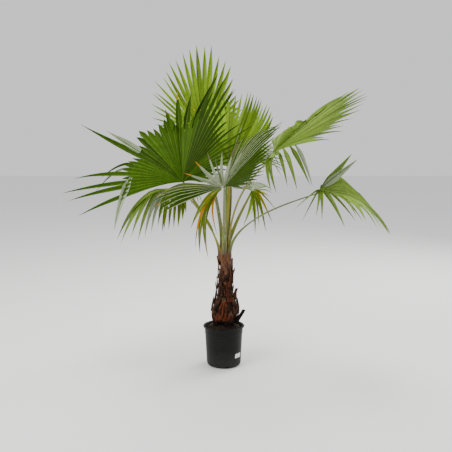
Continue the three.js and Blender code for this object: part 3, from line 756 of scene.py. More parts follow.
def tag_paper(colours):
    """Blank white tag with a faint grain and a slightly soiled surface."""
    f = Finish("blank white tag", 0.4)
    grain = f.noise(240.0, 4.0)
    colour = f.mix(f.noise(45.0) * 0.5, rgba(colours.tag), rgba(colours.tag, 0.8))
    return f.done(colour, 0.5 + grain * 0.15, grain, 0.1, 0.0003)


def potting_mix(colours):
    """Moist dark soil with lighter crumbs."""
    f = Finish("moist potting mix", 0.12)
    crumbs = f.noise(190.0, 6.0, rough=0.7)
    damp = f.noise(22.0)
    colour = f.mix(crumbs.clipped(0.4, 0.7), rgba(colours.soil, 0.6), rgba(colours.soil, 2.0))
    colour = f.mix(damp * 0.4, colour, rgba(colours.soil, 0.5))
    return f.done(colour, 0.75 + damp * 0.2, crumbs + f.noise(60.0), 0.7, 0.004)


def bark(name, colour, edge, grain=1.0, rough=0.82, gap=0.7):
    """Dry fibrous bark: vertical fibres, painted shade in the gaps between them and paler worn strands.
    """
    f = Finish(name, 0.1)
    fibres = f.noise(1.0, 5.0, f.stretched(330 * grain, 330 * grain, 26 * grain), 0.6)
    patches = f.noise(34.0, 4.0)
    # Painted shade: the gaps between the fibres darken the colour, and they also sink the relief.
    shaded_gaps = f.noise(1.0, 3.0, f.stretched(95, 95, 30), 0.6).clipped(0.52, 0.6) * gap
    tint = f.mix(fibres.clipped(0.32, 0.68), rgba(colour, 0.45), rgba(colour, 1.5))
    tint = f.mix(patches.clipped(0.5, 0.75) * 0.45, tint, rgba(edge))
    tint = f.mix(shaded_gaps, tint, rgba(colour, 0.15))
    return f.done(tint, rough - 0.12 + fibres * 0.24, fibres - shaded_gaps, 0.8, 0.0022)


def stalk_skin(name, colour, second, streak=0.5, foot=None):
    """Smooth waxy stalk with long pale streaks, a slightly mottled bloom and a browner foot."""
    f = Finish(name, 0.3)
    streaks = f.noise(1.0, 3.0, f.stretched(150, 150, 7))
    bloom = f.noise(46.0, 3.0)
    tint = f.mix(streaks.clipped(0.4, 0.7) * streak, rgba(colour), rgba(second))
    tint = f.mix(bloom * 0.25, tint, rgba(colour, 0.7))
    if foot:
        height = f.graph.part(f.place, "Z") + bloom * 0.03
        tint = f.mix(height.clipped(*BROWNING), rgba(foot, 0.55), tint)
    return f.done(tint, 0.38 + bloom * 0.2, streaks, 0.25, 0.0008)


def blade_skin(name, colour, gloss=0.08, vein=0.16, inner=1.0):
    """A leaflet's skin: fine veins along it, lighter and darker patches, and painted shade on its inner
    part towards the hub.
    """
    f = Finish(name, gloss)
    place = f.graph.node("ShaderNodeUVMap", uv_map="UVMap")
    veins = (f.graph.part(place, "X") * (2 * math.pi * VEINS)).sine() * 0.5 + 0.5
    patches = f.noise(26.0, 3.0)
    # Painted shade: near the hub the colour is scaled down to inner, and this fades out by under half the
    # leaflet's length.
    shade = (f.graph.part(place, "Y") * 2.2).clipped(0.0, 1.0) * (1 - inner) + inner
    tint = f.mix(patches.clipped(0.3, 0.7), rgba(colour, 0.82), rgba(colour, 1.16))
    tint = f.mix(shade, rgba(colour, 0.0), tint)
    tint = f.mix(veins * vein, tint, rgba(colour, 1.5))
    return f.done(tint, 0.42 + patches * 0.2, veins, 0.25, 0.0004)


def chip_wood(name, colour):
    """A chip of bark, with grain and worn pale faces."""
    f = Finish(name, 0.3)
    grain = f.noise(1.0, 4.0, f.stretched(260, 90, 120))
    tint = f.mix(grain.clipped(0.35, 0.7), rgba(colour, 0.55), rgba(colour, 1.4))
    return f.done(tint, 0.7 + grain * 0.2, grain, 0.5, 0.001)


def floor_paper():
    """Plain pale studio floor."""
    f = Finish("pale floor", 0.1)
    return f.done((0.86, 0.86, 0.86, 1.0), 0.85 + f.noise(3.0) * 0.1)


def palettes(colours):
    """The tones of each kind of frond: its own green, that green with painted shade and with painted
    light, and its rib, then those that all of them share.
    """
    spent = [
        blade_skin("yellowed leaflet", colours.yellow, vein=0.25),
        blade_skin("orange leaflet", colours.orange, vein=0.25),
        blade_skin("dry leaflet", colours.dry, gloss=0.1, vein=0.3),
        blade_skin("sunlit leaflet", colours.sunlit),
        blade_skin("silvery leaflet back", colours.silver_back),
    ]
    made = {}
    for kind in PALETTE_SLOTS:
        # How much of its colour a blade keeps at the hub under its painted shade; the bright fronds keep
        # least.
        inner = 0.45 if kind == "bright" else 0.85
        green = getattr(colours, kind)
        shaded = colours.deep if kind == "silver" else [0.66 * c for c in green]
        made[kind] = [
            blade_skin(kind + " green blade", green, inner=inner),
            blade_skin(kind + " green blade in shade", shaded, inner=inner),
            blade_skin(kind + " green blade in light", [1.3 * c for c in green], inner=inner),
            blade_skin(kind + " leaf rib", getattr(colours, kind + "_rib"), vein=0.05),
            *spent,
        ]
    return made


# ---- Settings ---------------------------------------------------------------------------------------
def colour_setting(name, description, hex_colour):
    """A colour, from its six-digit screen colour."""
    return FloatVectorProperty(
        name=name, description=description, subtype="COLOR", default=linear(hex_colour), min=0, max=1
    )


def length_setting(name, description, metres):
    """A length in metres."""
    return FloatProperty(name=name, description=description, default=metres, unit="LENGTH")


class PalmColours(bpy.types.PropertyGroup):
    """The plant's and the pot's colours."""

    # Deep green is the old frond's own darker green with painted shade in it.
    deep: colour_setting("Deep green", "Blade of the old dark frond", "345006")
    mid: colour_setting("Mid green", "Blade of the open side fronds", "667f2d")
    shade: colour_setting("Shaded green", "Blade of the low side frond", "76903c")
    # Bright green has painted light in it: the young fronds' yellower green, brightened as if light shone
    # through them.
    bright: colour_setting("Bright green", "Blade of the young sunlit fronds", "75961f")
    silver: colour_setting("Silver green", "Blade of the waxy front frond", "526128")
    deep_rib: colour_setting("Deep rib", "Rib of the old dark frond", "596c30")
    mid_rib: colour_setting("Mid rib", "Rib of the open side fronds", "8b9965")
    shade_rib: colour_setting("Shaded rib", "Rib of the low side frond", "768455")
    bright_rib: colour_setting("Bright rib", "Rib of the young sunlit fronds", "95aa45")
    silver_rib: colour_setting("Silver rib", "Rib of the waxy front frond", "b6bd97")
    sunlit: colour_setting("Sunlit", "Leaflets that hang in full light", "657612")
    silver_back: colour_setting("Silvery back", "Undersides of the leaflets", "909c7e")
    yellow: colour_setting("Yellowed", "Leaflets that start to fade", "9e951d")
    orange: colour_setting("Orange", "Leaflets that have faded", "b57e12")
    dry: colour_setting("Dry", "Dead tips and leaflets", "6f5d4b")
    stalk: colour_setting("Stalk", "Skin of the stalks", "57602a")
    stalk_olive: colour_setting("Olive stalk", "Skin of the outer stalks", "5a6a20")
    stalk_edge: colour_setting("Stalk edge", "Toothed edges of the stalks", "998e30")
    sheath_edge: colour_setting("Sheath edge", "Torn edges of the stalks' feet", "8a5c2a")
    rust: colour_setting("Rust", "Old leaf bases round the bulb", "4a2417")
    ember: colour_setting("Ember", "The freshest torn leaf base", "542611")
    brown: colour_setting("Brown", "Old leaf bases higher up", "39241b")
    # Dark serves rotten stubs and dark sheaths, and also the painted shade in the gaps between sheaths
    # and in the leaf bases.
    dark: colour_setting("Dark", "Gaps and rotten stubs", "120c09")
    purple: colour_setting("Purple", "Sheaths under the crown", "604030")
    tan: colour_setting("Tan", "Worn edges and fibres", "5c4430")
    soil: colour_setting("Soil", "Potting mix", "241d16")
    chip: colour_setting("Chips", "Bark chips on the soil", "7c6557")
    pot: colour_setting("Pot", "Pot plastic", "0c0c0b")
    pot_dust: colour_setting("Pot dust", "Dust and scuffs on the pot", "4b4d48")
    tag: colour_setting("Tag", "Blank tag on the pot", "e7e7e5")


class PotSizes(bpy.types.PropertyGroup):
    """Sizes of the nursery pot and its soil."""

    rim: length_setting("Rim radius", "Outside radius of the lip", POT_BOX[1].x)
    height: length_setting("Height", "Height of the pot", POT_BOX[1].z)
    wall: length_setting("Wall", "Thickness of the pot's wall", 0.003)
    soil_top: length_setting("Soil", "Height of the soil's surface", SOIL_BOX[1].z)
    chips: IntProperty(name="Chips", description="Chips for each square metre", default=5200)


class StemSizes(bpy.types.PropertyGroup):
    """Relief of the stem."""

    sheaths: IntProperty(name="Sheaths", description="Old sheaths round the stem", default=34)
    relief: length_setting("Relief", "Thickness of a sheath", 0.006)
    scales: IntProperty(name="Scales", description="Small torn scales round the stem", default=40)
    fibres: IntProperty(name="Fibres", description="Fibres for each square metre", default=5200)


class FrondSizes(bpy.types.PropertyGroup):
    """Sizes of the leaflets."""

    blade: length_setting("Blade", "Thickness of a leaflet", 0.0008)
    rib: FloatProperty(name="Rib", description="Share of a leaflet's width", default=0.13)
    pleat: FloatProperty(name="Pleat", description="Depth of a pleat, by its half width", default=0.8)
    unrest: FloatProperty(name="Unrest", description="How uneven neighbouring leaflets are", default=1.0)


# ---- Pot, soil and tag ------------------------------------------------------------------------------
def turned(profile, sides):
    """Points and faces of a profile of (radius, height), turned round the axis that its ends are on."""
    points = [(0, 0, profile[0][1]), (0, 0, profile[-1][1])]
    for radius, height in profile[1:-1]:
        points += ring(radius, height, sides)
    faces = grid_faces(len(profile) - 2, sides, start=2)
    last = len(points) - sides
    for i in range(sides):
        j = (i + 1) % sides
        faces += [(0, 2 + j, 2 + i), (1, last + i, last + j)]
    return points, faces


def wall_radius(z):
    """Outside radius of the pot's wall at a height."""
    lip = POT_BOX[1].z - POT_LIP
    return np.interp(z, [POT_FOOT, lip], [POT_BASE, POT_NECK])


def arc(centre, radius, start, end, count):
    """Points of a round stretch of a profile, from one angle to another in degrees."""
    return [
        (centre[0] + radius * math.cos(math.radians(a)), centre[1] + radius * math.sin(math.radians(a)))
        for a in np.linspace(start, end, count)
    ]


def pot_profile(sizes):
    """From the centre of the underside, up the outside, over the rolled lip and down the inside."""
    top = sizes.height
    lip = top - POT_LIP
    step = top - POT_STEP
    foot = (POT_BASE - POT_FOOT, POT_FOOT)
    roll = (sizes.rim - POT_ROLL, top - 0.0036)
    hollow, depth = POT_HOLLOW
    return [
        (0, depth),
        (hollow - 0.004, depth),
        (hollow, 0),
        *arc(foot, POT_FOOT, -90, 0, 10),
        (wall_radius(step) - 0.0008, step - 0.0008),
        (wall_radius(step) + 0.0009, step + 0.0008),
        (POT_NECK + 0.0004, lip - 0.0012),
        (POT_NECK + 0.0014, lip),
        (sizes.rim - 0.0030, lip + 0.0004),
        (sizes.rim - 0.0006, lip + 0.0018),
        *arc(roll, POT_ROLL, 0, 90, 6),
        (POT_NECK + 0.002, top - 0.0003),
        (POT_NECK - 0.0005, top - 0.0014),
        (POT_NECK - sizes.wall, top - 0.005),
        *arc(foot, POT_FOOT - sizes.wall, 0, -90, 8),
        (0, sizes.wall),
    ]


class PALM_OT_pot(bpy.types.Operator):
    """Builds the moulded pot, with its step, rolled lip, rounded foot and drain slots"""

    bl_idname = "palm.pot"
    bl_label = "Pot"

    def execute(self, context):
        sizes = context.scene.palm_pot
        points, faces = turned(pot_profile(sizes), POT_SIDES)
        mesh = mesh_of("nursery_pot", points, faces, [pot_plastic(context.scene.palm_colours)])
        outwards(mesh)
        pot = new_piece("nursery_pot", mesh)
        cutter = new_piece("drain_cutter", self.slots())
        cut = pot.modifiers.new("Drain slots", "BOOLEAN")
        cut.operation = "DIFFERENCE"
        cut.solver = "EXACT"
        cut.object = cutter
        made_plain(pot)
        bpy.data.objects.remove(cutter)
        soften(pot.data, 32)
        settle(pot, "pot", "pot")
        return {"FINISHED"}

    def slots(self):
        """Boxes that stand through the foot of the wall."""
        work = bmesh.new()
        for i in range(DRAIN_SLOTS):
            angle = math.radians(DRAIN_FIRST + 360 * i / DRAIN_SLOTS)
            for v in bmesh.ops.create_cube(work, size=1.0)["verts"]:
                p = v.co * Vector(DRAIN_SIZE) + Vector((POT_BASE, 0, DRAIN_BOTTOM + DRAIN_SIZE[2] / 2))
                v.co = (
                    p.x * math.cos(angle) - p.y * math.sin(angle),
                    p.x * math.sin(angle) + p.y * math.cos(angle),
                    p.z,
                )
        bmesh.ops.recalc_face_normals(work, faces=work.faces)
        mesh = bpy.data.meshes.new("drain_cutter")
        work.to_mesh(mesh)
        work.free()
        return mesh


class PALM_OT_label(bpy.types.Operator):
    """Builds the blank tag that is stuck to the pot's wall"""

    bl_idname = "palm.label"
    bl_label = "Blank tag"

    def execute(self, context):
        low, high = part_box("pot_label")
        rows, columns = 12, 24
        points = []
        for out in (LABEL_THICK, 0.0):
            for r in range(rows):
                z = low.z + (high.z - low.z) * r / (rows - 1)
                v = r / (rows - 1) * 2 - 1
                for c in range(columns):
                    u = c / (columns - 1) * 2 - 1
                    curl = LABEL_CURL * max(0, abs(u) - 0.8) * max(0, v) * 5
                    radius = wall_radius(z) + LABEL_GAP + out + curl
                    a = math.radians(LABEL_ANGLE) + u * LABEL_WIDTH / 2 / radius
                    points.append((radius * math.cos(a), radius * math.sin(a), z))
        paper = tag_paper(context.scene.palm_colours)
        tag = solid_piece("blank_tag", points, shell_faces(rows, columns), [paper], None, 40)
        settle(tag, "label", "pot_label")
        return {"FINISHED"}


def soil_height(x, y, top):
    """The soil's surface: lumps, a dip towards the wall and a mound round the stem."""
    r = math.hypot(x, y)
    lumps = noise.noise(Vector((x * 34, y * 34, 0.3))) * 0.0035
    crumbs = noise.noise(Vector((x * 120, y * 120, 7.1))) * 0.0022
    mound = MOUND * (1 - float(smoothstep(np.float64(r), 0.058, 0.108)))
    dip = 0.004 * max(0.0, (r - 0.085) / 0.03)
    return top - 0.003 + lumps + crumbs + mound - dip


def soil_surface(radii, sides, top, lift=0.0):
    """Rings of points on the soil's surface, or a little above it."""
    points = []
    for radius in radii:
        points += [(x, y, soil_height(x, y, top) + lift) for x, y, _ in ring(radius, 0, sides)]
    return points


def soil_piece(sizes, material):
    """A mound of soil whose side follows the inside of the pot."""
    rings, sides, top = 34, 120, sizes.soil_top
    edge = wall_radius(top) - sizes.wall - SOIL_TOP_GAP
    points = [(0, 0, soil_height(0, 0, top))]
    points += soil_surface([edge * k / rings for k in range(1, rings + 1)], sides, top)
    for z in (0.2, 0.12, POT_FOOT):
        points += ring(wall_radius(z) - sizes.wall - SOIL_GAP, z, sides)
    points += ring(POT_BASE - POT_FOOT, sizes.wall + SOIL_GAP, sides)
    faces = [(0, 1 + i, 1 + (i + 1) % sides) for i in range(sides)]
    faces += grid_faces(rings + 4, sides, start=1)
    last = len(points) - sides
    faces.append(tuple(last + i for i in reversed(range(sides))))
    return solid_piece("potting_soil", points, faces, [material], None, 60)


def chip_recipe():
    """Bark chips strewn over a surface, each turned and sized by chance."""
    recipe = Recipe("Strewn chips", density=100.0, length=0.012, seed=1, chip="material")
    graph, given = recipe.graph, recipe.given
    slab = graph.node("GeometryNodeMeshIcoSphere", {"Radius": 0.5, "Subdivisions": 1})
    knocks = graph.chance((-0.12, -0.12, -0.12), (0.12, 0.12, 0.12), 4)
    chip = graph.node("GeometryNodeSetPosition", {"Geometry": slab, "Offset": knocks})
    turn = graph.chance((-0.5, -0.5, 0.0), (0.5, 0.5, 6.28), given("seed"))
    size = graph.chance((0.5, 0.3, 0.14), (1.3, 0.7, 0.36), given("seed") + 3)
    recipe.finish_copies(recipe.scattered(), chip, turn, graph.scaled(size, given("length")), "chip")
    return recipe


def soil_patch(sizes):
    """The part of the soil's surface that chips fall on: open ground between the stem and the wall."""
    rings, sides = 6, 48
    inner, outer = 0.060, 0.110
    radii = [inner + (outer - inner) * k / (rings - 1) for k in range(rings)]
    points = soil_surface(radii, sides, sizes.soil_top, 0.0012)
    return mesh_of("soil_patch", points, grid_faces(rings, sides))


class PALM_OT_soil(bpy.types.Operator):
    """Builds the potting mix and the bark chips and bits of leaf that lie on it"""

    bl_idname = "palm.soil"
    bl_label = "Soil and chips"

    def execute(self, context):
        sizes, colours = context.scene.palm_pot, context.scene.palm_colours
        settle(soil_piece(sizes, potting_mix(colours)), "soil", "soil")
        recipe = chip_recipe()
        kinds = [  # name, share of all the chips, length, finish
            ("pale_bark_chips", 0.05, 0.026, chip_wood("pale bark chip", colours.chip)),
            ("small_bark_chips", 0.22, 0.011, chip_wood("small bark chip", colours.tan)),
            ("dark_bark_chips", 0.55, 0.016, chip_wood("dark bark chip", colours.soil)),
            ("leaf_crumbs", 0.18, 0.009, chip_wood("faded leaf crumb", [0.5 * c for c in colours.mid])),
        ]
        for seed, (name, share, length, chip) in enumerate(kinds, 2):
            inputs = dict(density=float(sizes.chips * share), length=length, seed=seed, chip=chip)
            settle(recipe.make(name, soil_patch(sizes), **inputs), "soil")
        return {"FINISHED"}


# ---- Stem and old leaf bases ------------------------------------------------------------------------
GOLDEN = 137.5  # degrees from one sheath or scale to the next
RUST, BROWN, DARK, WORN, PURPLE, GREEN = range(6)  # the stem's finishes
# A leaf base's third finish is painted shade: dark on its split strips, its inner skin, its foot end and
# low on the bulb.
WHOLE, TORN, PAINTED_SHADE = range(3)  # a leaf base's finishes
STUB = 0.016  # a leaf base thicker than this was cut off square
SCALE_ROWS, SCALE_COLUMNS = 16, 15


def stem_axis(z):
    """Where the leaning stem's middle is along X at a height."""
    t = (z - STEM[0][0]) / (STEM[-1][0] - STEM[0][0])
    return np.interp(t, [0, 1], STEM_LEAN)


def stem_radius(z):
    """The stem's radius at a height, before its relief."""
    heights, radii = zip(*STEM)
    return np.interp(z, heights, radii)


class Sheath:
    """One old sheath that wraps part of the stem and ends in a worn point above."""

    def __init__(self, rng, k, count, relief):
        share = k / (count - 1)
        self.foot = 0.222 + 0.50 * share**1.15
        self.angle = math.radians(GOLDEN * k + rng.uniform(-12, 12))
        self.height = rng.uniform(0.085, 0.125) * (1 + 0.5 * share)
        self.width = math.radians(rng.uniform(46, 66)) * (1 - 0.2 * share)
        self.thick = relief * rng.uniform(0.8, 1.35) * (1 - 0.55 * share)
        self.tone = self.choose(rng, share)
        self.seed = rng.uniform(0, 90)

    def choose(self, rng, share):
        """Finish by height: rust and brown low down, purple above, green under the crown."""
        if share > 0.86:
            return GREEN
        if share > 0.6:
            return PURPLE
        return rng.choice([RUST, RUST, BROWN, DARK] if share < 0.28 else [BROWN, BROWN, DARK, RUST])

    def lift(self, theta, z):
        """How far it stands out at each place, and how near that is to its worn edge."""
        t = (z - self.foot) / self.height
        gap = np.abs((theta - self.angle + math.pi) % (2 * math.pi) - math.pi)
        wear = 0.10 * np.sin(gap * 37 + self.seed) + 0.07 * np.sin(gap * 83 + self.seed * 2)
        reach = self.width * np.clip(1 - np.clip(t + wear, 0, 1) ** 1.7, 0, 1)
        inside = (t > -0.2) & (t < 1) & (gap < reach)
        crown = np.sqrt(np.clip(1 - (gap / np.maximum(reach, 1e-4)) ** 2, 0, 1))
        out = self.thick * (0.35 + 0.65 * np.clip(t, 0, 1)) * (0.55 + 0.45 * crown)
        edge = np.clip(gap / np.maximum(reach, 1e-4), 0, 1)
        return np.where(inside, out, -1.0), edge, t


def fibre_relief(theta, z):
    """Fine upright fibres, as ridges that wander a little round the stem."""
    a = theta + (0.05 * np.sin(z * 46) + 0.03 * np.sin(z * 121 + 2 * theta))
    broad = 0.4 * np.sin(a * 61 + 3 * np.sin(z * 31))
    return broad + 0.35 * np.sin(a * 97 + 1.7) + 0.25 * np.sin(a * 151 + z * 9)


def stem_piece(sizes, materials):
    """The stem's surface with the relief of its sheaths, and a finish for each sheath and worn edge."""
    rng = random.Random(11)
    columns, rows = 240, 250
    around = np.linspace(0, 2 * math.pi, columns, endpoint=False)
    theta, z = np.meshgrid(around, np.linspace(0.230, STEM[-1][0], rows))
    bulge = 1 + 0.035 * np.cos(3 * theta + z / 0.060) + 0.02 * np.cos(5 * theta - z / 0.035)
    radius = stem_radius(z) * bulge * (1 - 0.55 * smoothstep(z, 0.67, 0.77)) - sizes.relief * 0.6
    best = np.zeros_like(radius)
    # Between its sheaths the stem is dark below the crown: painted shade in the recesses.
    tone = np.where(z > CROWN_FROM, PURPLE, DARK)
    sheaths = [Sheath(rng, k, sizes.sheaths, sizes.relief) for k in range(sizes.sheaths)]
    for sheath in reversed(sheaths):
        out, edge, t = sheath.lift(theta, z)
        top = out > 0
        best = np.where(top, np.maximum(out, best * 0.35 + out * 0.75), best)
        tone = np.where(top, sheath.tone, tone)
        tone = np.where(top & ((edge > 0.86) | (t > 0.93)) & (t > 0.25), WORN, tone)
    radius = radius + best + fibre_relief(theta, z) * 0.0007
    x = stem_axis(z) + radius * np.cos(theta)
    points = np.stack([x, radius * np.sin(theta), z], -1).reshape(-1, 3).tolist()
    tones = tone[:-1, :].reshape(-1).tolist() + [DARK, PURPLE]
    return solid_piece("fibrous_stem", points, tube_faces(rows, columns), materials, tones, 50)


def fibre_recipe():
    """Loose fibres that stand off a surface, leaning up and out."""
    recipe = Recipe("Loose fibres", density=100.0, length=0.03, seed=1, fibre="material")
    graph, given = recipe.graph, recipe.given
    spots = recipe.scattered()
    strand = tooth_cone(graph, 3, 0.002, 0.02)
    sway = graph.chance((-0.5, -0.5, 0.8), (0.5, 0.5, 2.4), given("seed"))
    lean = graph.vector("ADD", sway, graph.scaled(spots["Normal"], 0.55))
    turn = graph.node("FunctionNodeAlignRotationToVector", {"Vector": lean}, axis="Z")
    sockets = {2: 0.4, 3: 1.4, "Seed": given("seed")}
    size = graph.node("FunctionNodeRandomValue", sockets, 1, data_type="FLOAT")
    recipe.finish_copies(spots, strand, turn, size * given("length"), "fibre")
    return recipe


def tooth_cone(graph, sides, tip, foot):
    """A slim cone of unit height: a fibre or a tooth."""
    sockets = {"Vertices": sides, "Side Segments": 1, "Depth": 1.0}
    sockets.update({"Radius Top": tip, "Radius Bottom": foot})
    return graph.node("GeometryNodeMeshCone", sockets, fill_type="NGON")


def fibre_ground():
    """The fibrous stretch of the stem, as a plain tube."""
    rows, columns = 14, 20
    points = []
    for z in np.linspace(0.262, 0.56, rows):
        points += ring(stem_radius(z), z, columns, stem_axis(z))
    return mesh_of("fibre_ground", points, grid_faces(rows, columns))


def stem_finishes(colours):
    """Rust, brown, dark, worn edge, purple sheath and green sheath, in that order."""
    return [
        bark("rust bark", colours.rust, colours.tan),
        bark("brown bark", colours.brown, colours.tan),
        bark("dark bark", colours.dark, colours.brown),
        bark("worn bark edge", colours.tan, colours.rust),
        bark("purple sheath", colours.purple, colours.tan, 0.7, 0.6),
        stalk_skin("green sheath", colours.stalk, colours.stalk_edge),
    ]


class PALM_OT_stem(bpy.types.Operator):
    """Builds the stem with its old sheaths and the loose fibres between them"""

    bl_idname = "palm.stem"
    bl_label = "Stem"

    def execute(self, context):
        sizes, colours = context.scene.palm_stem, context.scene.palm_colours
        settle(stem_piece(sizes, stem_finishes(colours)), "stem", "stem")
        recipe = fibre_recipe()
        kinds = [
            ("pale_stem_fibres", bark("pale fibre", colours.tan, colours.rust)),
            ("dark_stem_fibres", bark("dark fibre", colours.dark, colours.brown)),
        ]
        density = float(sizes.fibres / len(kinds))
        for seed, (name, fibre) in enumerate(kinds, 5):
            inputs = dict(density=density, length=FIBRE_LENGTH, seed=seed, fibre=fibre)
            settle(recipe.make(name, fibre_ground(), **inputs), "stem")
        return {"FINISHED"}


def leaf_base(row, seed):
    """Points and tones of one old leaf base: a curved scale, with strips of painted shade where it seems
    split, and a torn tip.
    """
    angle, foot, length, width, thickness, lean, turn, _, ragged = row
    rng = random.Random(seed)
    rows, columns = SCALE_ROWS, SCALE_COLUMNS
    stub = thickness > STUB
    narrowing, thinning = (0.3, 0.15) if stub else (0.72, 0.45)
    teeth = [rng.uniform(-1, 1) for _ in range(columns)]
    points = []
    for skin in (1, -1):
        for r in range(rows):
            t = r / (rows - 1)
            half = width / 2 * (1 - narrowing * t**1.5)
            thick = thickness / 2 * (1 - thinning * t)
            for c in range(columns):
                u = c / (columns - 1) * 2 - 1
                torn = 1 + ragged * 0.35 * teeth[c] * t**3
                z = foot + length * t * torn
                centre = stem_radius(z) * 0.97 + 0.003 + thickness * 0.35 + lean * length * t**1.6 * 0.62
                a = math.radians(angle + turn * t) + u * half / centre * 0.85
                ridge = 0.6 * thick * (1 - abs(u)) * (1 - 0.5 * t)
                curl = -0.05 * width * t * u * u * (1 if lean < 0.4 else 0)
                body = thick * (1 - u**4) ** 0.5 * skin
                fibre = 0.0009 * math.sin(u * 23 + seed + 2 * t) * (skin > 0)
                radius = centre + body + ridge + curl + fibre
                points.append((stem_axis(z) + radius * math.cos(a), radius * math.sin(a), z))
    # Strips of painted shade in a few columns stand in for splits in the scale.
    split = rng.sample(range(1, columns - 2), 4)
    shaded_gaps = {c: (rng.uniform(0.1, 0.6), rng.uniform(0.2, 0.5)) for c in split}
    tones = []
    for r in range(rows - 1):
        t = r / (rows - 2)
        for c in range(columns - 1):
            worn = not stub and (r > rows - 4 or (c in (0, columns - 2) and r > 5))
            low, tall = shaded_gaps.get(c, (2, 0))
            # Painted shade on the split strips and, below BULB_SHADE, low on the bulb.
            dark = low < t < low + tall or foot + length * t < BULB_SHADE + 0.012 * teeth[c]
            tones.append(PAINTED_SHADE if dark else TORN if worn else WHOLE)
    # Painted shade on the whole inner skin and on the foot end.
    tones += [PAINTED_SHADE] * len(tones) + [TORN] * (2 * rows - 2)
    return points, tones + [PAINTED_SHADE] * (columns - 1) + [TORN] * (columns - 1)


def torn_scales(sizes):
    """Rows of the small torn scales between the old leaf bases, spread round the stem."""
    rng = random.Random(29)
    rows = []
    for k in range(sizes.scales):
        share = k / sizes.scales
        low, high = ["rust", "brown", "brown", "dark"], ["brown", "brown", "purple"]
        kind = rng.choice(low if share < 0.55 else high)
        angle, foot = GOLDEN * k + rng.uniform(-16, 16), 0.272 + 0.30 * share**1.2
        length, width = rng.uniform(0.045, 0.085), rng.uniform(0.020, 0.038) * (1 - 0.3 * share)
        lean, turn = rng.uniform(0.10, 0.30), rng.uniform(-30, 30)
        rows.append((angle, foot, length, width, 0.007, lean, turn, kind, 0.4))
    return rows


class PALM_OT_leaf_bases(bpy.types.Operator):
    """Builds the old leaf bases that stand round the stem"""

    bl_idname = "palm.leaf_bases"
    bl_label = "Old leaf bases"

    def execute(self, context):
        colours = context.scene.palm_colours
        worn = bark("torn leaf base edge", colours.tan, colours.brown)
        # The finish of a leaf base's painted shade.
        hollow = bark("hollow of a leaf base", colours.dark, colours.brown)
        scales = torn_scales(context.scene.palm_stem)
        scale = shell_faces(SCALE_ROWS, SCALE_COLUMNS)
        for kind in ("rust", "ember", "brown", "dark", "purple"):
            edge = colours.ember if kind == "rust" else colours.tan
            skin = bark(kind + " leaf base", getattr(colours, kind), edge, 0.8, gap=0.9)
            points, faces, tones, nodes = [], [], [], []
            for i, row in enumerate(LEAF_BASES + scales):
                if row[7] != kind:
                    continue
                faces += [tuple(len(points) + k for k in face) for face in scale]
                more_points, more_tones = leaf_base(row, i)
                points += more_points
                tones += more_tones
                if i < len(LEAF_BASES):
                    nodes.append(f"leaf_base_{i + 1}")
            looks = [skin, worn, hollow]
            piece = solid_piece(kind + "_leaf_bases", points, faces, looks, tones, 55)
            settle(piece, "leaf_base", *nodes)
        return {"FINISHED"}


# ---- Fronds -----------------------------------------------------------------------------------------
def aim(f):
    """Midrib, side and upper-face directions of a frond."""
    az, el, ro = (math.radians(f[k]) for k in ("azimuth", "elevation", "roll"))
    out = np.array([math.cos(el) * math.cos(az), math.cos(el) * math.sin(az), math.sin(el)])
    level = np.array([math.sin(az), -math.cos(az), 0.0])
    face = np.cross(level, out)
    side = math.cos(ro) * level + math.sin(ro) * face
    normal = math.cos(ro) * face - math.sin(ro) * level
    return out, side, normal


def traits(f, angle):
    """How the leaflet at an angle bends, ends and is finished, as its frond and its zones say."""
    made = dict(
        droop=f["droop"] + f["limp"] * (angle / SPAN) ** 2, gather=f["gather"], split=f["split"],
        full=f["full"], onset=0.4, kink=0.0, lift=0.0, reach=1.0, girth=0.0, tip=1.0, tone=None,
        late_tone=None, tip_tone=None, rib=RIB, skip=False,
    )
    for key, knots in f["along"].items():
        made[key] = float(np.interp(angle, *zip(*knots)))
    for start, end, changes in f["zones"]:
        if start <= angle <= end:
            made.update(changes)
    return made


STILL = {"sway": 0.0, "droop": 0.0, "break": 0.0, "where": 0.8, "split": 0.5}  # a leaflet at rest
VECTORS, VALUES = ("left", "right", "rib"), ("tone", "rib_tone", "share")  # what guides carry


def leaflet_line(f, angle, habit):
    """The line of a leaflet, or of an edge, from the hub to the tip, in even steps."""
    out, side, normal = aim(f)
    t = traits(f, angle)
    s = (np.arange(STEPS) + 0.5) / STEPS
    a = math.radians(angle)
    shortened = 1 - f["taper"] * abs(angle / SPAN) ** f["curve"]
    length = f["reach"] * shortened * (1 + f["skew"] * math.sin(a)) * t["reach"]
    free = smoothstep(s, habit["split"], 1.0)
    b = a * (1 - t["gather"] * np.clip(1 - s / GATHERED, 0, None) ** 2) + habit["sway"] * free
    lift = np.radians(f["fold"] * np.abs(np.sin(b)) + t["lift"])
    d = (np.outer(np.cos(b), out) + np.outer(np.sin(b), side)) * np.cos(lift)[:, None]
    d += np.outer(np.sin(lift), normal)
    late = np.clip((s - t["onset"]) / (1 - t["onset"]), 0, None) ** 1.5
    bend = smoothstep(s, t["onset"], t["onset"] + KINK_RUN)
    snap = smoothstep(s, habit["where"], habit["where"] + SNAP_RUN)
    d[:, 2] -= t["droop"] * (0.25 * s + late) + t["kink"] * bend
    d[:, 2] -= habit["droop"] * free + habit["break"] * snap
    steps = unit(d) * length / STEPS
    return np.vstack([f["hub"], np.array(f["hub"]) + np.cumsum(steps, 0)])


def on_line(line, shares):
    """Places on a line of even steps at shares of its length."""
    x = np.clip(np.asarray(shares) * STEPS, 0, STEPS - 1e-6)
    k = x.astype(int)
    return line[k] * (1 - (x - k))[:, None] + line[k + 1] * (x - k)[:, None]


def midway(pair, shares):
    """Places halfway between two lines at shares of their length."""
    return (on_line(pair[0], shares) + on_line(pair[1], shares)) / 2


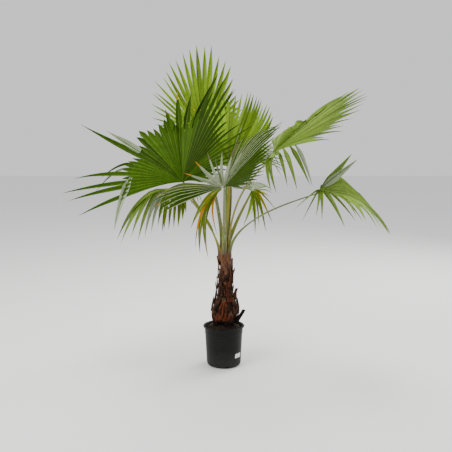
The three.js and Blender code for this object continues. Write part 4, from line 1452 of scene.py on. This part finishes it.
def habit_of(f, rng, t, unrest):
    """What sets a leaflet a little apart from its neighbours, from where they part on."""
    broken = rng.random() < f["broken"]
    tip = rng.choice([0, 0, 0, 0.03, 0.05, 0.08])
    tone = rng.choice([PLAIN, PLAIN, PLAIN, SHADE, LIGHT])
    tip_tone = rng.choice([YELLOW, DRY, DRY])
    if t["tip_tone"] is not None:
        tip, tip_tone = max(tip, 0.08), t["tip_tone"]
    return {
        "length": t["tip"] * (1 + unrest * rng.uniform(-0.09, 0.05)),
        "sway": math.radians(rng.gauss(0, 1.8) * unrest),
        "droop": rng.uniform(-0.05, 0.10) * unrest,
        "break": rng.uniform(0.8, 1.8) if broken else 0.0,
        "where": rng.uniform(0.7, 0.86),
        "twist": math.radians(rng.gauss(0, 9) * unrest),
        "tone": tone if t["tone"] is None else t["tone"],
        "tip": tip,
        "tip_tone": tip_tone,
    }


def blade_guides(f, sizes, seed):
    """One row of guide points for each leaflet, with the offsets of its edges and rib, and its tones.

    Leaflets share their edges up to where they part. Beyond that each narrows to its own tip.
    """
    rng = random.Random(seed)
    normal = aim(f)[2]
    edge_angles = np.linspace(f["first"], f["last"], f["leaflets"] + 1)
    middles = (edge_angles[1:] + edge_angles[:-1]) / 2
    kinds = [traits(f, a) for a in middles]
    splits = []
    for before, after in zip(kinds[:1] + kinds, kinds + kinds[-1:]):
        plain = min(before["split"], after["split"])
        splits.append(plain * (1 + rng.uniform(-0.12, 0.1) * sizes.unrest))
    edges = [leaflet_line(f, a, STILL) for a in edge_angles]
    made = {key: [] for key in ("place", *VECTORS, *VALUES)}
    for i, t in enumerate(kinds):
        habit = habit_of(f, rng, t, sizes.unrest)
        if t["skip"]:
            continue
        start = habit["split"] = (splits[i] + splits[i + 1]) / 2
        own = leaflet_line(f, middles[i], habit)
        pair = edges[i : i + 2]
        free = habit["length"] * (on_line(own, ROWS) - on_line(own, [start])) + midway(pair, [start])
        centre = np.where((ROWS <= start)[:, None], midway(pair, ROWS), free)
        ahead = unit(np.gradient(centre, axis=0))
        offsets = []
        for edge, split in zip(pair, splits[i : i + 2]):
            half = (on_line(edge, [split]) - midway(pair, [split]))[0]
            shared = on_line(edge, ROWS) - centre
            offsets.append(free_edge(ahead, shared, half, min(split, start), t, habit))
        across = unit(offsets[1] - offsets[0])
        up = unit(np.cross(across, ahead))
        up *= np.where(up @ normal < 0, -1.0, 1.0)[:, None]
        half = np.linalg.norm(offsets[1] - offsets[0], axis=1) / 2
        depth = sizes.pleat * half * (1 + 0.5 * smoothstep(ROWS, start, 1.0))
        late = habit["tone"] if t["late_tone"] is None else t["late_tone"]
        tone = np.where(ROWS > start, late, habit["tone"])
        tone[ROWS >= 1 - habit["tip"] - 1e-6] = habit["tip_tone"] if habit["tip"] else habit["tone"]
        add_leaflet(made, centre, offsets, up * depth[:, None], tone, t["rib"])
    for leaflet in f["loose"]:
        loose_leaflet(made, f, leaflet, sizes, rng)
    return made


def add_leaflet(made, centre, offsets, pleat, tone, rib):
    """Adds a leaflet's guides: its midline, half a pleat up, its edges, its rib below and its tones."""
    spent = (tone > RIB) & (tone < SUNLIT)
    rib_tone = np.where(spent | (ROWS > RIB_END), tone, rib)
    for key, rows in zip(made, (centre + pleat * 0.5, *offsets, -pleat, tone, rib_tone, ROWS)):
        made[key].append(rows)


def loose_leaflet(made, f, leaflet, sizes, rng):
    """A single leaflet that leaves the fan at an angle and share, and arches down to its own tip."""
    angle, share, tip, width, tone, tip_tone, bow = (*leaflet, None, None)[:7]
    line = leaflet_line(f, angle, STILL)
    start = on_line(line, [share])[0]
    tip = np.array(tip)
    bow = bow or (HANGING_BOW if tip[2] < start[2] else RISING_BOW)
    pull = start + unit(on_line(line, [share + 0.05])[0] - start) * np.linalg.norm(tip - start) * bow
    pull = pull + (tip - start) * (HANGING_BOW - bow)
    t = ROWS[:, None]
    centre = (1 - t) ** 2 * start + 2 * t * (1 - t) * pull + t * t * tip
    ahead = unit(np.gradient(centre, axis=0))
    across = unit(np.cross(ahead, [rng.gauss(0, 0.25), -1, 0.15]))
    half = width / 2 * (0.3 + 0.7 * smoothstep(ROWS, 0, 0.35)) * (1 - ROWS**1.9)
    side = across * half[:, None]
    pleat = np.cross(across, ahead) * (sizes.pleat * half)[:, None]
    tones = np.where(ROWS < LOOSE_TIP, tone, tone if tip_tone is None else tip_tone)
    add_leaflet(made, centre, (-side, side), pleat, tones, RIB)


def free_edge(ahead, shared, half, split, t, habit):
    """Offsets from a leaflet's midline to one edge: shared up to the split, then its own, to the tip."""
    made = shared.copy()
    width = np.linalg.norm(half)
    direction = unit(half)
    for r in np.flatnonzero(ROWS > split):
        direction = unit(direction - ahead[r] * (direction @ ahead[r]))
        rest = (ROWS[r] - split) / (1 - split)
        twist = habit["twist"] * rest
        way = direction * math.cos(twist) + np.cross(ahead[r], direction) * math.sin(twist)
        swell = 1 + t["girth"] * 4 * rest * (1 - rest)
        made[r] = way * width * (1 - rest ** t["full"]) * (1 - 0.12 * rest) * swell
    return made


def blade_recipe():
    """Folded leaflets spread along their guides: two halves of blade and a narrow rib between them."""
    tones = {f"tone_{k}": "material" for k in TONES}
    recipe = Recipe("Folded leaflets", rows=len(ROWS), rib_share=0.13, **tones)
    graph, node, given = recipe.graph, recipe.graph.node, recipe.given
    vector = "FLOAT_VECTOR"

    def read(key, row, kind="FLOAT"):
        """What the guides hold under a name, or where they are, at the number of a row."""
        value = graph.named(key, kind) if key else node("GeometryNodeInputPosition")
        sockets = {"Geometry": given(), "Value": value, "Index": row}
        return node("GeometryNodeSampleIndex", sockets, data_type=kind, domain="POINT", clamp=True)

    def row_and_column(columns):
        """Where a point or a face stands in the grid."""
        index = node("GeometryNodeInputIndex")
        row = (index / columns + 0.001).floor()
        return row, index - row * columns

    count = node("GeometryNodeAttributeDomainSize", {"Geometry": given()}, component="MESH")
    sockets = {"Size X": 1.0, "Size Y": 1.0, "Vertices X": count, "Vertices Y": BLADE_COLUMNS}
    grid = node("GeometryNodeMeshGrid", sockets)
    row, column = row_and_column(BLADE_COLUMNS)
    column = column - BLADE_COLUMNS // 2
    share, size = given("rib_share"), abs(column)
    outer = size.maths("MAXIMUM", size - 1, 0.0)
    across = size * share + outer * (1 - 2 * share)
    is_right = column.over(0)
    shares = {"left": across * (1 - is_right), "right": across * is_right, "rib": 1 - across}
    left, right, ridge = (graph.scaled(read(key, row, vector), part) for key, part in shares.items())
    spot = graph.vector("ADD", read(None, row, vector), left)
    spot = graph.vector("ADD", spot, graph.vector("ADD", right, ridge))
    sheet = node("GeometryNodeSetPosition", {"Geometry": grid, "Position": spot})
    place = node("ShaderNodeCombineXYZ", {"X": column * 0.25 + 0.5, "Y": read("share", row)})
    sheet = graph.store(sheet, "place", place, vector, "POINT")
    row, column = row_and_column(BLADE_COLUMNS - 1)
    is_rib = 1 - abs(column - 1.5).over(1)
    plain = read("tone", row)
    tone = plain + is_rib * (read("rib_tone", row) - plain)
    sheet = graph.store(sheet, "tone", tone, "FLOAT", "FACE")
    rows, following = given("rows"), row + 1
    between = 1 - (following - (following / rows + 0.0001).floor() * rows).over(0.5)
    sheet = node("GeometryNodeDeleteGeometry", {"Geometry": sheet, "Selection": between}, domain="FACE")
    sheet = graph.store(sheet, "UVMap", graph.named("place", vector), "FLOAT2", "CORNER")
    sheet = node("GeometryNodeMergeByDistance", {"Geometry": sheet, "Distance": 0.00002})
    kept = graph.named("tone")
    finishes = []
    for k in TONES:
        sockets = {0: kept, 1: float(k), "Epsilon": 0.4}
        chosen = node("FunctionNodeCompare", sockets, data_type="FLOAT", operation="EQUAL")
        finishes.append((chosen, given(f"tone_{k}")))
    recipe.finish(sheet, *finishes)
    return recipe


class PALM_OT_fronds(bpy.types.Operator):
    """Builds the pleated, split fans of leaflets"""

    bl_idname = "palm.fronds"
    bl_label = "Fans"

    def execute(self, context):
        sizes = context.scene.palm_fronds
        recipe = blade_recipe()
        looks = palettes(context.scene.palm_colours)
        for seed, (name, f) in enumerate(FRONDS.items(), 21):
            guides = {key: np.concatenate(rows) for key, rows in blade_guides(f, sizes, seed).items()}
            vectors, values = ({key: guides[key] for key in keys} for keys in (VECTORS, VALUES))
            mesh = guide_mesh(name + "_guides", guides["place"].tolist(), vectors, values)
            inputs = {f"tone_{k}": tone for k, tone in enumerate(looks[f["palette"]])}
            inputs.update(rows=len(ROWS), rib_share=sizes.rib * f["ribs"])
            fan = recipe.make(name + "_fan", mesh, thickness=sizes.blade, **inputs)
            soften(fan.data, 38)
            settle(fan, PALETTE_SLOTS[f["palette"]], "fan_" + name)
        return {"FINISHED"}


# ---- Stalks and unopened leaf -----------------------------------------------------------------------
SHEATH_FOOT = (0.600, 0.655)  # heights between which the stalks' feet come out of the neck
SHEATH_ROWS = 12  # rings of a stalk's foot, then of the stalk and of its run under the blade
STALK_ROWS = 44
MIDRIB_ROWS = 12
STALK_SIDES = 16
SHEATH_WIDTH = 0.046
MIDRIB_RUN = (0.03, 0.34)  # shares of the blade's midline that the midrib runs under
MIDRIB_DROP = 0.0035  # how far it lies under the blade
STALK_SWELL, SWELL_RUN = 0.55, 0.22  # how much wider it leaves the neck, and over which share
STALK_TAPER = 0.56  # how much narrower it is at the blade
STALK_DEPTH = 0.62  # its thickness by its width
CHANNEL_RISE, CHANNEL_DIP = 0.42, 0.22  # its upper side by its lower one, and the channel in it
EDGE_FROM = 0.82  # share of its half width from which a face is edge
EDGE_BARK, EDGE_TORN = 0.645, 0.695  # heights up to which its edges are bark and torn bark
SKIN_BARK = 0.690  # height up to which its skin is bark
TEETH_FROM, TEETH_SHARE = 0.05, 0.74  # where its teeth start, and over which share they stand
TOOTH_GAP = (0.010, 0.015)
TOOTH_LENGTH = 0.0052


def bezier(a, b, c, d, t):
    """Points of a cubic curve from a to d, drawn towards b and then c."""
    t = np.asarray(t)[:, None]
    return (1 - t) ** 3 * a + 3 * (1 - t) ** 2 * t * b + 3 * (1 - t) * t * t * c + t**3 * d


def stalk_path(f):
    """Centres of a stalk from the neck to the blade."""
    out, _, normal = aim(f)
    s = f["stalk"]
    root, hub = np.array(s["root"]), np.array(f["hub"])
    end = hub + out * 0.016 - normal * s["width"] * 0.22
    arrive = unit(unit(hub - root) + out * 0.35)
    lift = root + np.array([root[0] * 0.15, root[1] * 0.15, s["rise"]])
    t = np.linspace(0, 1, STALK_ROWS)
    bow = np.outer(np.sin(math.pi * t) * s["bow"], [1, 0, 0])
    return bezier(root, lift, end - arrive * s["run"], end, t) + bow


def frames(path, facing):
    """Across and upper directions at each point of a path."""
    along = unit(np.gradient(path, axis=0))
    across = unit(np.cross(along, facing))
    return across, np.cross(across, along)


def stalk_parts(f, seed):
    """Points, path, sideways directions and half widths of a stalk.

    Its foot wraps the neck. Above, it is round below and channelled above, and it runs on under the
    blade as the tapering midrib.
    """
    normal, root = aim(f)[2], np.array(f["stalk"]["root"])
    t = np.linspace(0, 1, STALK_ROWS)
    swell = 1 + STALK_SWELL * np.clip(1 - t / SWELL_RUN, 0, None) ** 2
    width = f["stalk"]["width"] / 2 * swell * (1 - STALK_TAPER * t)
    radial = unit([root[0], root[1], 0.0])
    foot = random.Random(seed).uniform(*SHEATH_FOOT)
    low = np.linspace(foot, root[2], SHEATH_ROWS, endpoint=False)
    rise = smoothstep(low, foot, root[2])
    spread = (stem_radius(low) - 0.001) * (1 - rise) + np.linalg.norm(root[:2]) * rise
    axis = np.outer(1 - rise, [STEM_LEAN[1], 0, 0]) + np.outer(low, [0, 0, 1])
    midrib = on_line(leaflet_line(f, 0.0, STILL), np.linspace(*MIDRIB_RUN, MIDRIB_ROWS))
    foot_path = radial * spread[:, None] + axis
    path = np.vstack([foot_path, stalk_path(f), midrib - normal * MIDRIB_DROP])
    sheath = width[0] + (SHEATH_WIDTH / 2 - width[0]) * (1 - rise)
    width = np.concatenate([sheath, width, width[-1] * (1 - np.linspace(0.12, 0.93, MIDRIB_ROWS))])
    turned = smoothstep(np.arange(len(path)), SHEATH_ROWS, SHEATH_ROWS + STALK_ROWS * 0.6)[:, None]
    across, depth = frames(path, normal * turned - radial * (1 - turned))
    points = []
    for k in range(len(path)):
        for i in range(STALK_SIDES):
            a = 2 * math.pi * (i + 0.5) / STALK_SIDES
            x, y = math.cos(a), math.sin(a)
            if y > 0:
                y = y * CHANNEL_RISE - CHANNEL_DIP * (1 - x * x)
            point = path[k] + across[k] * (x * width[k]) + depth[k] * (y * width[k] * STALK_DEPTH)
            if k < SHEATH_ROWS:
                worn = foot + 0.035 + 0.02 * math.sin(9 * x + seed)
                dip = 0.010 * (1 - smoothstep(low[k], foot, worn))
                radius = spread[k] + 0.004 - dip - y * 0.002
                bend = x * width[k] / spread[k]
                wrapped = axis[k] + (radial * math.cos(bend) + across[k] * math.sin(bend)) * radius
                point = wrapped + (point - wrapped) * rise[k]
            points.append(point)
    return points, path, across, width


def stalk_tones(f, heights, seed):
    """A finish for each face of a stalk: its bark foot, its two edges and its skin, then its ends."""
    skin, edge = f["stalk"]["skin"], f["stalk"]["edge"]
    tones = []
    for z in heights[:-1]:
        for i in range(STALK_SIDES):
            x = math.cos(2 * math.pi * (i + 1) / STALK_SIDES)
            if abs(x) > EDGE_FROM:
                tones.append(FOOT_BARK if z < EDGE_BARK else TORN_BARK if z < EDGE_TORN else edge)
            else:
                ragged = 0.02 * math.sin(9 * x + 2 * seed)
                tones.append(FOOT_BARK if z + ragged < SKIN_BARK else skin)
    return tones + [FOOT_BARK, GREEN_SKIN]


def thorn_guides(stalks):
    """Places, outward directions and sizes of the teeth along the stalks' edges."""
    points, aims, sizes = [], [], []
    rng = random.Random(5)
    for path, across, width in stalks:
        lengths = np.concatenate([[0], np.cumsum(np.linalg.norm(np.diff(path, axis=0), axis=1))])
        at = TEETH_FROM
        while at < lengths[-1] * TEETH_SHARE:
            for sign in (-1, 1):
                spot = at + rng.uniform(-0.003, 0.003)
                place = np.array([np.interp(spot, lengths, row) for row in path.T])
                side = np.array([np.interp(spot, lengths, row) for row in across.T]) * sign
                points.append(place + side * np.interp(spot, lengths, width) * 0.97)
                aims.append(side)
                sizes.append(rng.uniform(0.7, 1.3) * (1 - 0.5 * spot / lengths[-1]))
            at += rng.uniform(*TOOTH_GAP)
    return guide_mesh("thorn_places", points, {"aim": aims}, {"size": sizes})


def thorn_recipe():
    """A small tooth at each guide point, turned outwards."""
    recipe = Recipe("Stalk teeth", length=0.005, tooth="material")
    graph = recipe.graph
    aim_at, size = graph.named("aim", "FLOAT_VECTOR"), graph.named("size")
    turn = graph.node("FunctionNodeAlignRotationToVector", {"Vector": aim_at}, axis="Z")
    points = graph.node("GeometryNodeMeshToPoints", {"Mesh": recipe.given()})
    tooth = tooth_cone(graph, 4, 0.04, 0.34)
    recipe.finish_copies(points, tooth, turn, size * recipe.given("length"), "tooth")
    return recipe


class PALM_OT_stalks(bpy.types.Operator):
    """Builds the channelled stalks, which run on as the fans' midribs, and the teeth on their edges"""

    bl_idname = "palm.stalks"
    bl_label = "Stalks"

    def execute(self, context):
        c = context.scene.palm_colours
        edge = stalk_skin("yellow stalk edge", c.stalk_edge, c.stalk, 0.35, c.sheath_edge)
        shaded = [0.5 * part for part in c.stalk]
        looks = [
            stalk_skin("green stalk", c.stalk, c.silver_back, 0.8, c.purple),
            edge,
            bark("stalk foot", c.purple, c.tan, 0.7, 0.6),
            bark("worn sheath edge", c.sheath_edge, c.tan, 0.7, 0.6),
            stalk_skin("yellow stalk", c.stalk_edge, c.yellow, 0.6, c.purple),
            stalk_skin("shaded stalk", shaded, c.stalk, 0.6, c.purple),
            stalk_skin("olive stalk", c.stalk_olive, c.stalk_edge, 0.5, c.purple),
        ]
        stalks = []
        for seed, (name, f) in enumerate(FRONDS.items()):
            points, path, across, width = stalk_parts(f, seed)
            faces, tones = tube_faces(len(path), STALK_SIDES), stalk_tones(f, path[:, 2], seed)
            stalk = solid_piece(name + "_stalk", points, faces, looks, tones, 45)
            settle(stalk, "stalk", "stalk_" + name)
            shown = slice(SHEATH_ROWS, SHEATH_ROWS + STALK_ROWS)
            stalks.append((path[shown], across[shown], width[shown]))
        inputs = dict(length=TOOTH_LENGTH, tooth=edge)
        settle(thorn_recipe().make("stalk_teeth", thorn_guides(stalks), **inputs), "stalk")
        return {"FINISHED"}


class PALM_OT_spear(bpy.types.Operator):
    """Builds the unopened leaf, still folded into a rod with fine ridges"""

    bl_idname = "palm.spear"
    bl_label = "Unopened leaf"

    def execute(self, context):
        colours = context.scene.palm_colours
        t, knots = np.linspace(0, 1, SPEAR_ROWS), np.linspace(0, 1, len(SPEAR))
        path = np.stack([np.interp(t, knots, row) for row in np.array(SPEAR).T], 1)
        for _ in range(SPEAR_SMOOTHING):
            path[1:-1] = (path[:-2] + path[1:-1] * 2 + path[2:]) / 4
        across, depth = frames(path, np.array([0.0, 1.0, 0.0]))
        points = []
        for k in range(SPEAR_ROWS):
            r = SPEAR_RADIUS * (1 - 0.85 * t[k] ** 1.6)
            for i in range(SPEAR_SIDES):
                a = 2 * math.pi * i / SPEAR_SIDES
                groove = 1 - 0.16 * (0.5 + 0.5 * math.cos(SPEAR_RIDGES * a)) - 0.1 * (i % 2)
                turn = a + SPEAR_TWIST * t[k]
                x, y = r * groove * math.cos(turn), 0.8 * r * groove * math.sin(turn)
                points.append(path[k] + across[k] * x + depth[k] * y)
        tones = [int(i % 4 == 0) for i in range(SPEAR_SIDES)] * (SPEAR_ROWS - 1) + [0, 0]
        looks = [
            stalk_skin("folded young blade", colours.mid, colours.deep),
            stalk_skin("folded young rib", colours.mid_rib, colours.mid),
        ]
        faces = tube_faces(SPEAR_ROWS, SPEAR_SIDES)
        settle(solid_piece("unopened_leaf", points, faces, looks, tones, 30), "blade_mid", "spear_leaf")
        return {"FINISHED"}


# ---- Stage ------------------------------------------------------------------------------------------
CAMERA_PLACE = (0.014, -4.5, 1.57)
CAMERA_TARGET = (0.014, 0.0, 0.88)
CAMERA_LENS = 59.1
LIGHT_TARGET = (0, 0, 1.1)
LIGHTS = [  # name, place, diameter, power, colour
    ("key", (-2.2, -2.4, 3.8), 2.4, 110, (1.0, 0.99, 0.96)),
    ("top", (0.3, 0.8, 4.6), 2.6, 170, (1.0, 1.0, 0.98)),
    ("rim", (2.8, 2.8, 3.0), 2.6, 120, (1.0, 1.0, 0.97)),
]
SKY_STRENGTH = 0.9
FLOOR = [(-14, -14, 0), (14, -14, 0), (14, 14, 0), (-14, 14, 0)]


def aimed(name, data, place, target):
    """A camera or a lamp at a place, turned to a target."""
    made = new_piece(name, data)
    made.location = place
    made.rotation_euler = (Vector(target) - Vector(place)).to_track_quat("-Z", "Y").to_euler()
    return made


class PALM_OT_stage(bpy.types.Operator):
    """Sets the camera, the plain floor and the soft studio light"""

    bl_idname = "palm.stage"
    bl_label = "Stage"

    def execute(self, context):
        lens = bpy.data.cameras.new("camera")
        lens.lens = CAMERA_LENS
        context.scene.camera = aimed("camera", lens, CAMERA_PLACE, CAMERA_TARGET)
        new_piece("floor", mesh_of("floor", FLOOR, [(0, 1, 2, 3)], [floor_paper()]))
        for name, place, size, power, colour in LIGHTS:
            lamp = bpy.data.lights.new(name, "AREA")
            lamp.shape = "DISK"
            lamp.size = size
            lamp.energy = power
            lamp.color = colour
            aimed(name, lamp, place, LIGHT_TARGET)
        world = bpy.data.worlds.new("studio")
        world.use_nodes = True
        sky = world.node_tree.nodes["Background"].inputs
        sky["Color"].default_value = (1.0, 1.0, 1.0, 1.0)
        sky["Strength"].default_value = SKY_STRENGTH
        context.scene.world = world
        return {"FINISHED"}


# ---- Add-on -----------------------------------------------------------------------------------------
GROUPS = {
    "palm_colours": PalmColours,
    "palm_pot": PotSizes,
    "palm_stem": StemSizes,
    "palm_fronds": FrondSizes,
}
STEPS_IN_ORDER = [
    PALM_OT_stage,
    PALM_OT_pot,
    PALM_OT_label,
    PALM_OT_soil,
    PALM_OT_stem,
    PALM_OT_leaf_bases,
    PALM_OT_stalks,
    PALM_OT_fronds,
    PALM_OT_spear,
]


class PALM_PT_parts(bpy.types.Panel):
    """Lists the palm's sizes, colours and pieces"""

    bl_label = "Fan Palm"
    bl_idname = "PALM_PT_parts"
    bl_space_type = "VIEW_3D"
    bl_region_type = "UI"
    bl_category = "Fan Palm"

    def draw(self, context):
        layout = self.layout
        for step in STEPS_IN_ORDER:
            layout.operator(step.bl_idname)
        for name, group in GROUPS.items():
            box = layout.box()
            box.label(text=group.__doc__)
            for key in group.__annotations__:
                box.prop(getattr(context.scene, name), key)


def register():
    for group in GROUPS.values():
        bpy.utils.register_class(group)
    for step in STEPS_IN_ORDER:
        bpy.utils.register_class(step)
    bpy.utils.register_class(PALM_PT_parts)
    for name, group in GROUPS.items():
        setattr(bpy.types.Scene, name, PointerProperty(type=group))


def unregister():
    for name in GROUPS:
        delattr(bpy.types.Scene, name)
    bpy.utils.unregister_class(PALM_PT_parts)
    for step in reversed(STEPS_IN_ORDER):
        bpy.utils.unregister_class(step)
    for group in reversed(list(GROUPS.values())):
        bpy.utils.unregister_class(group)


def main():
    register()
    for step in STEPS_IN_ORDER:
        family, name = step.bl_idname.split(".")
        getattr(getattr(bpy.ops, family), name)()


if __name__ == "__main__":
    main()
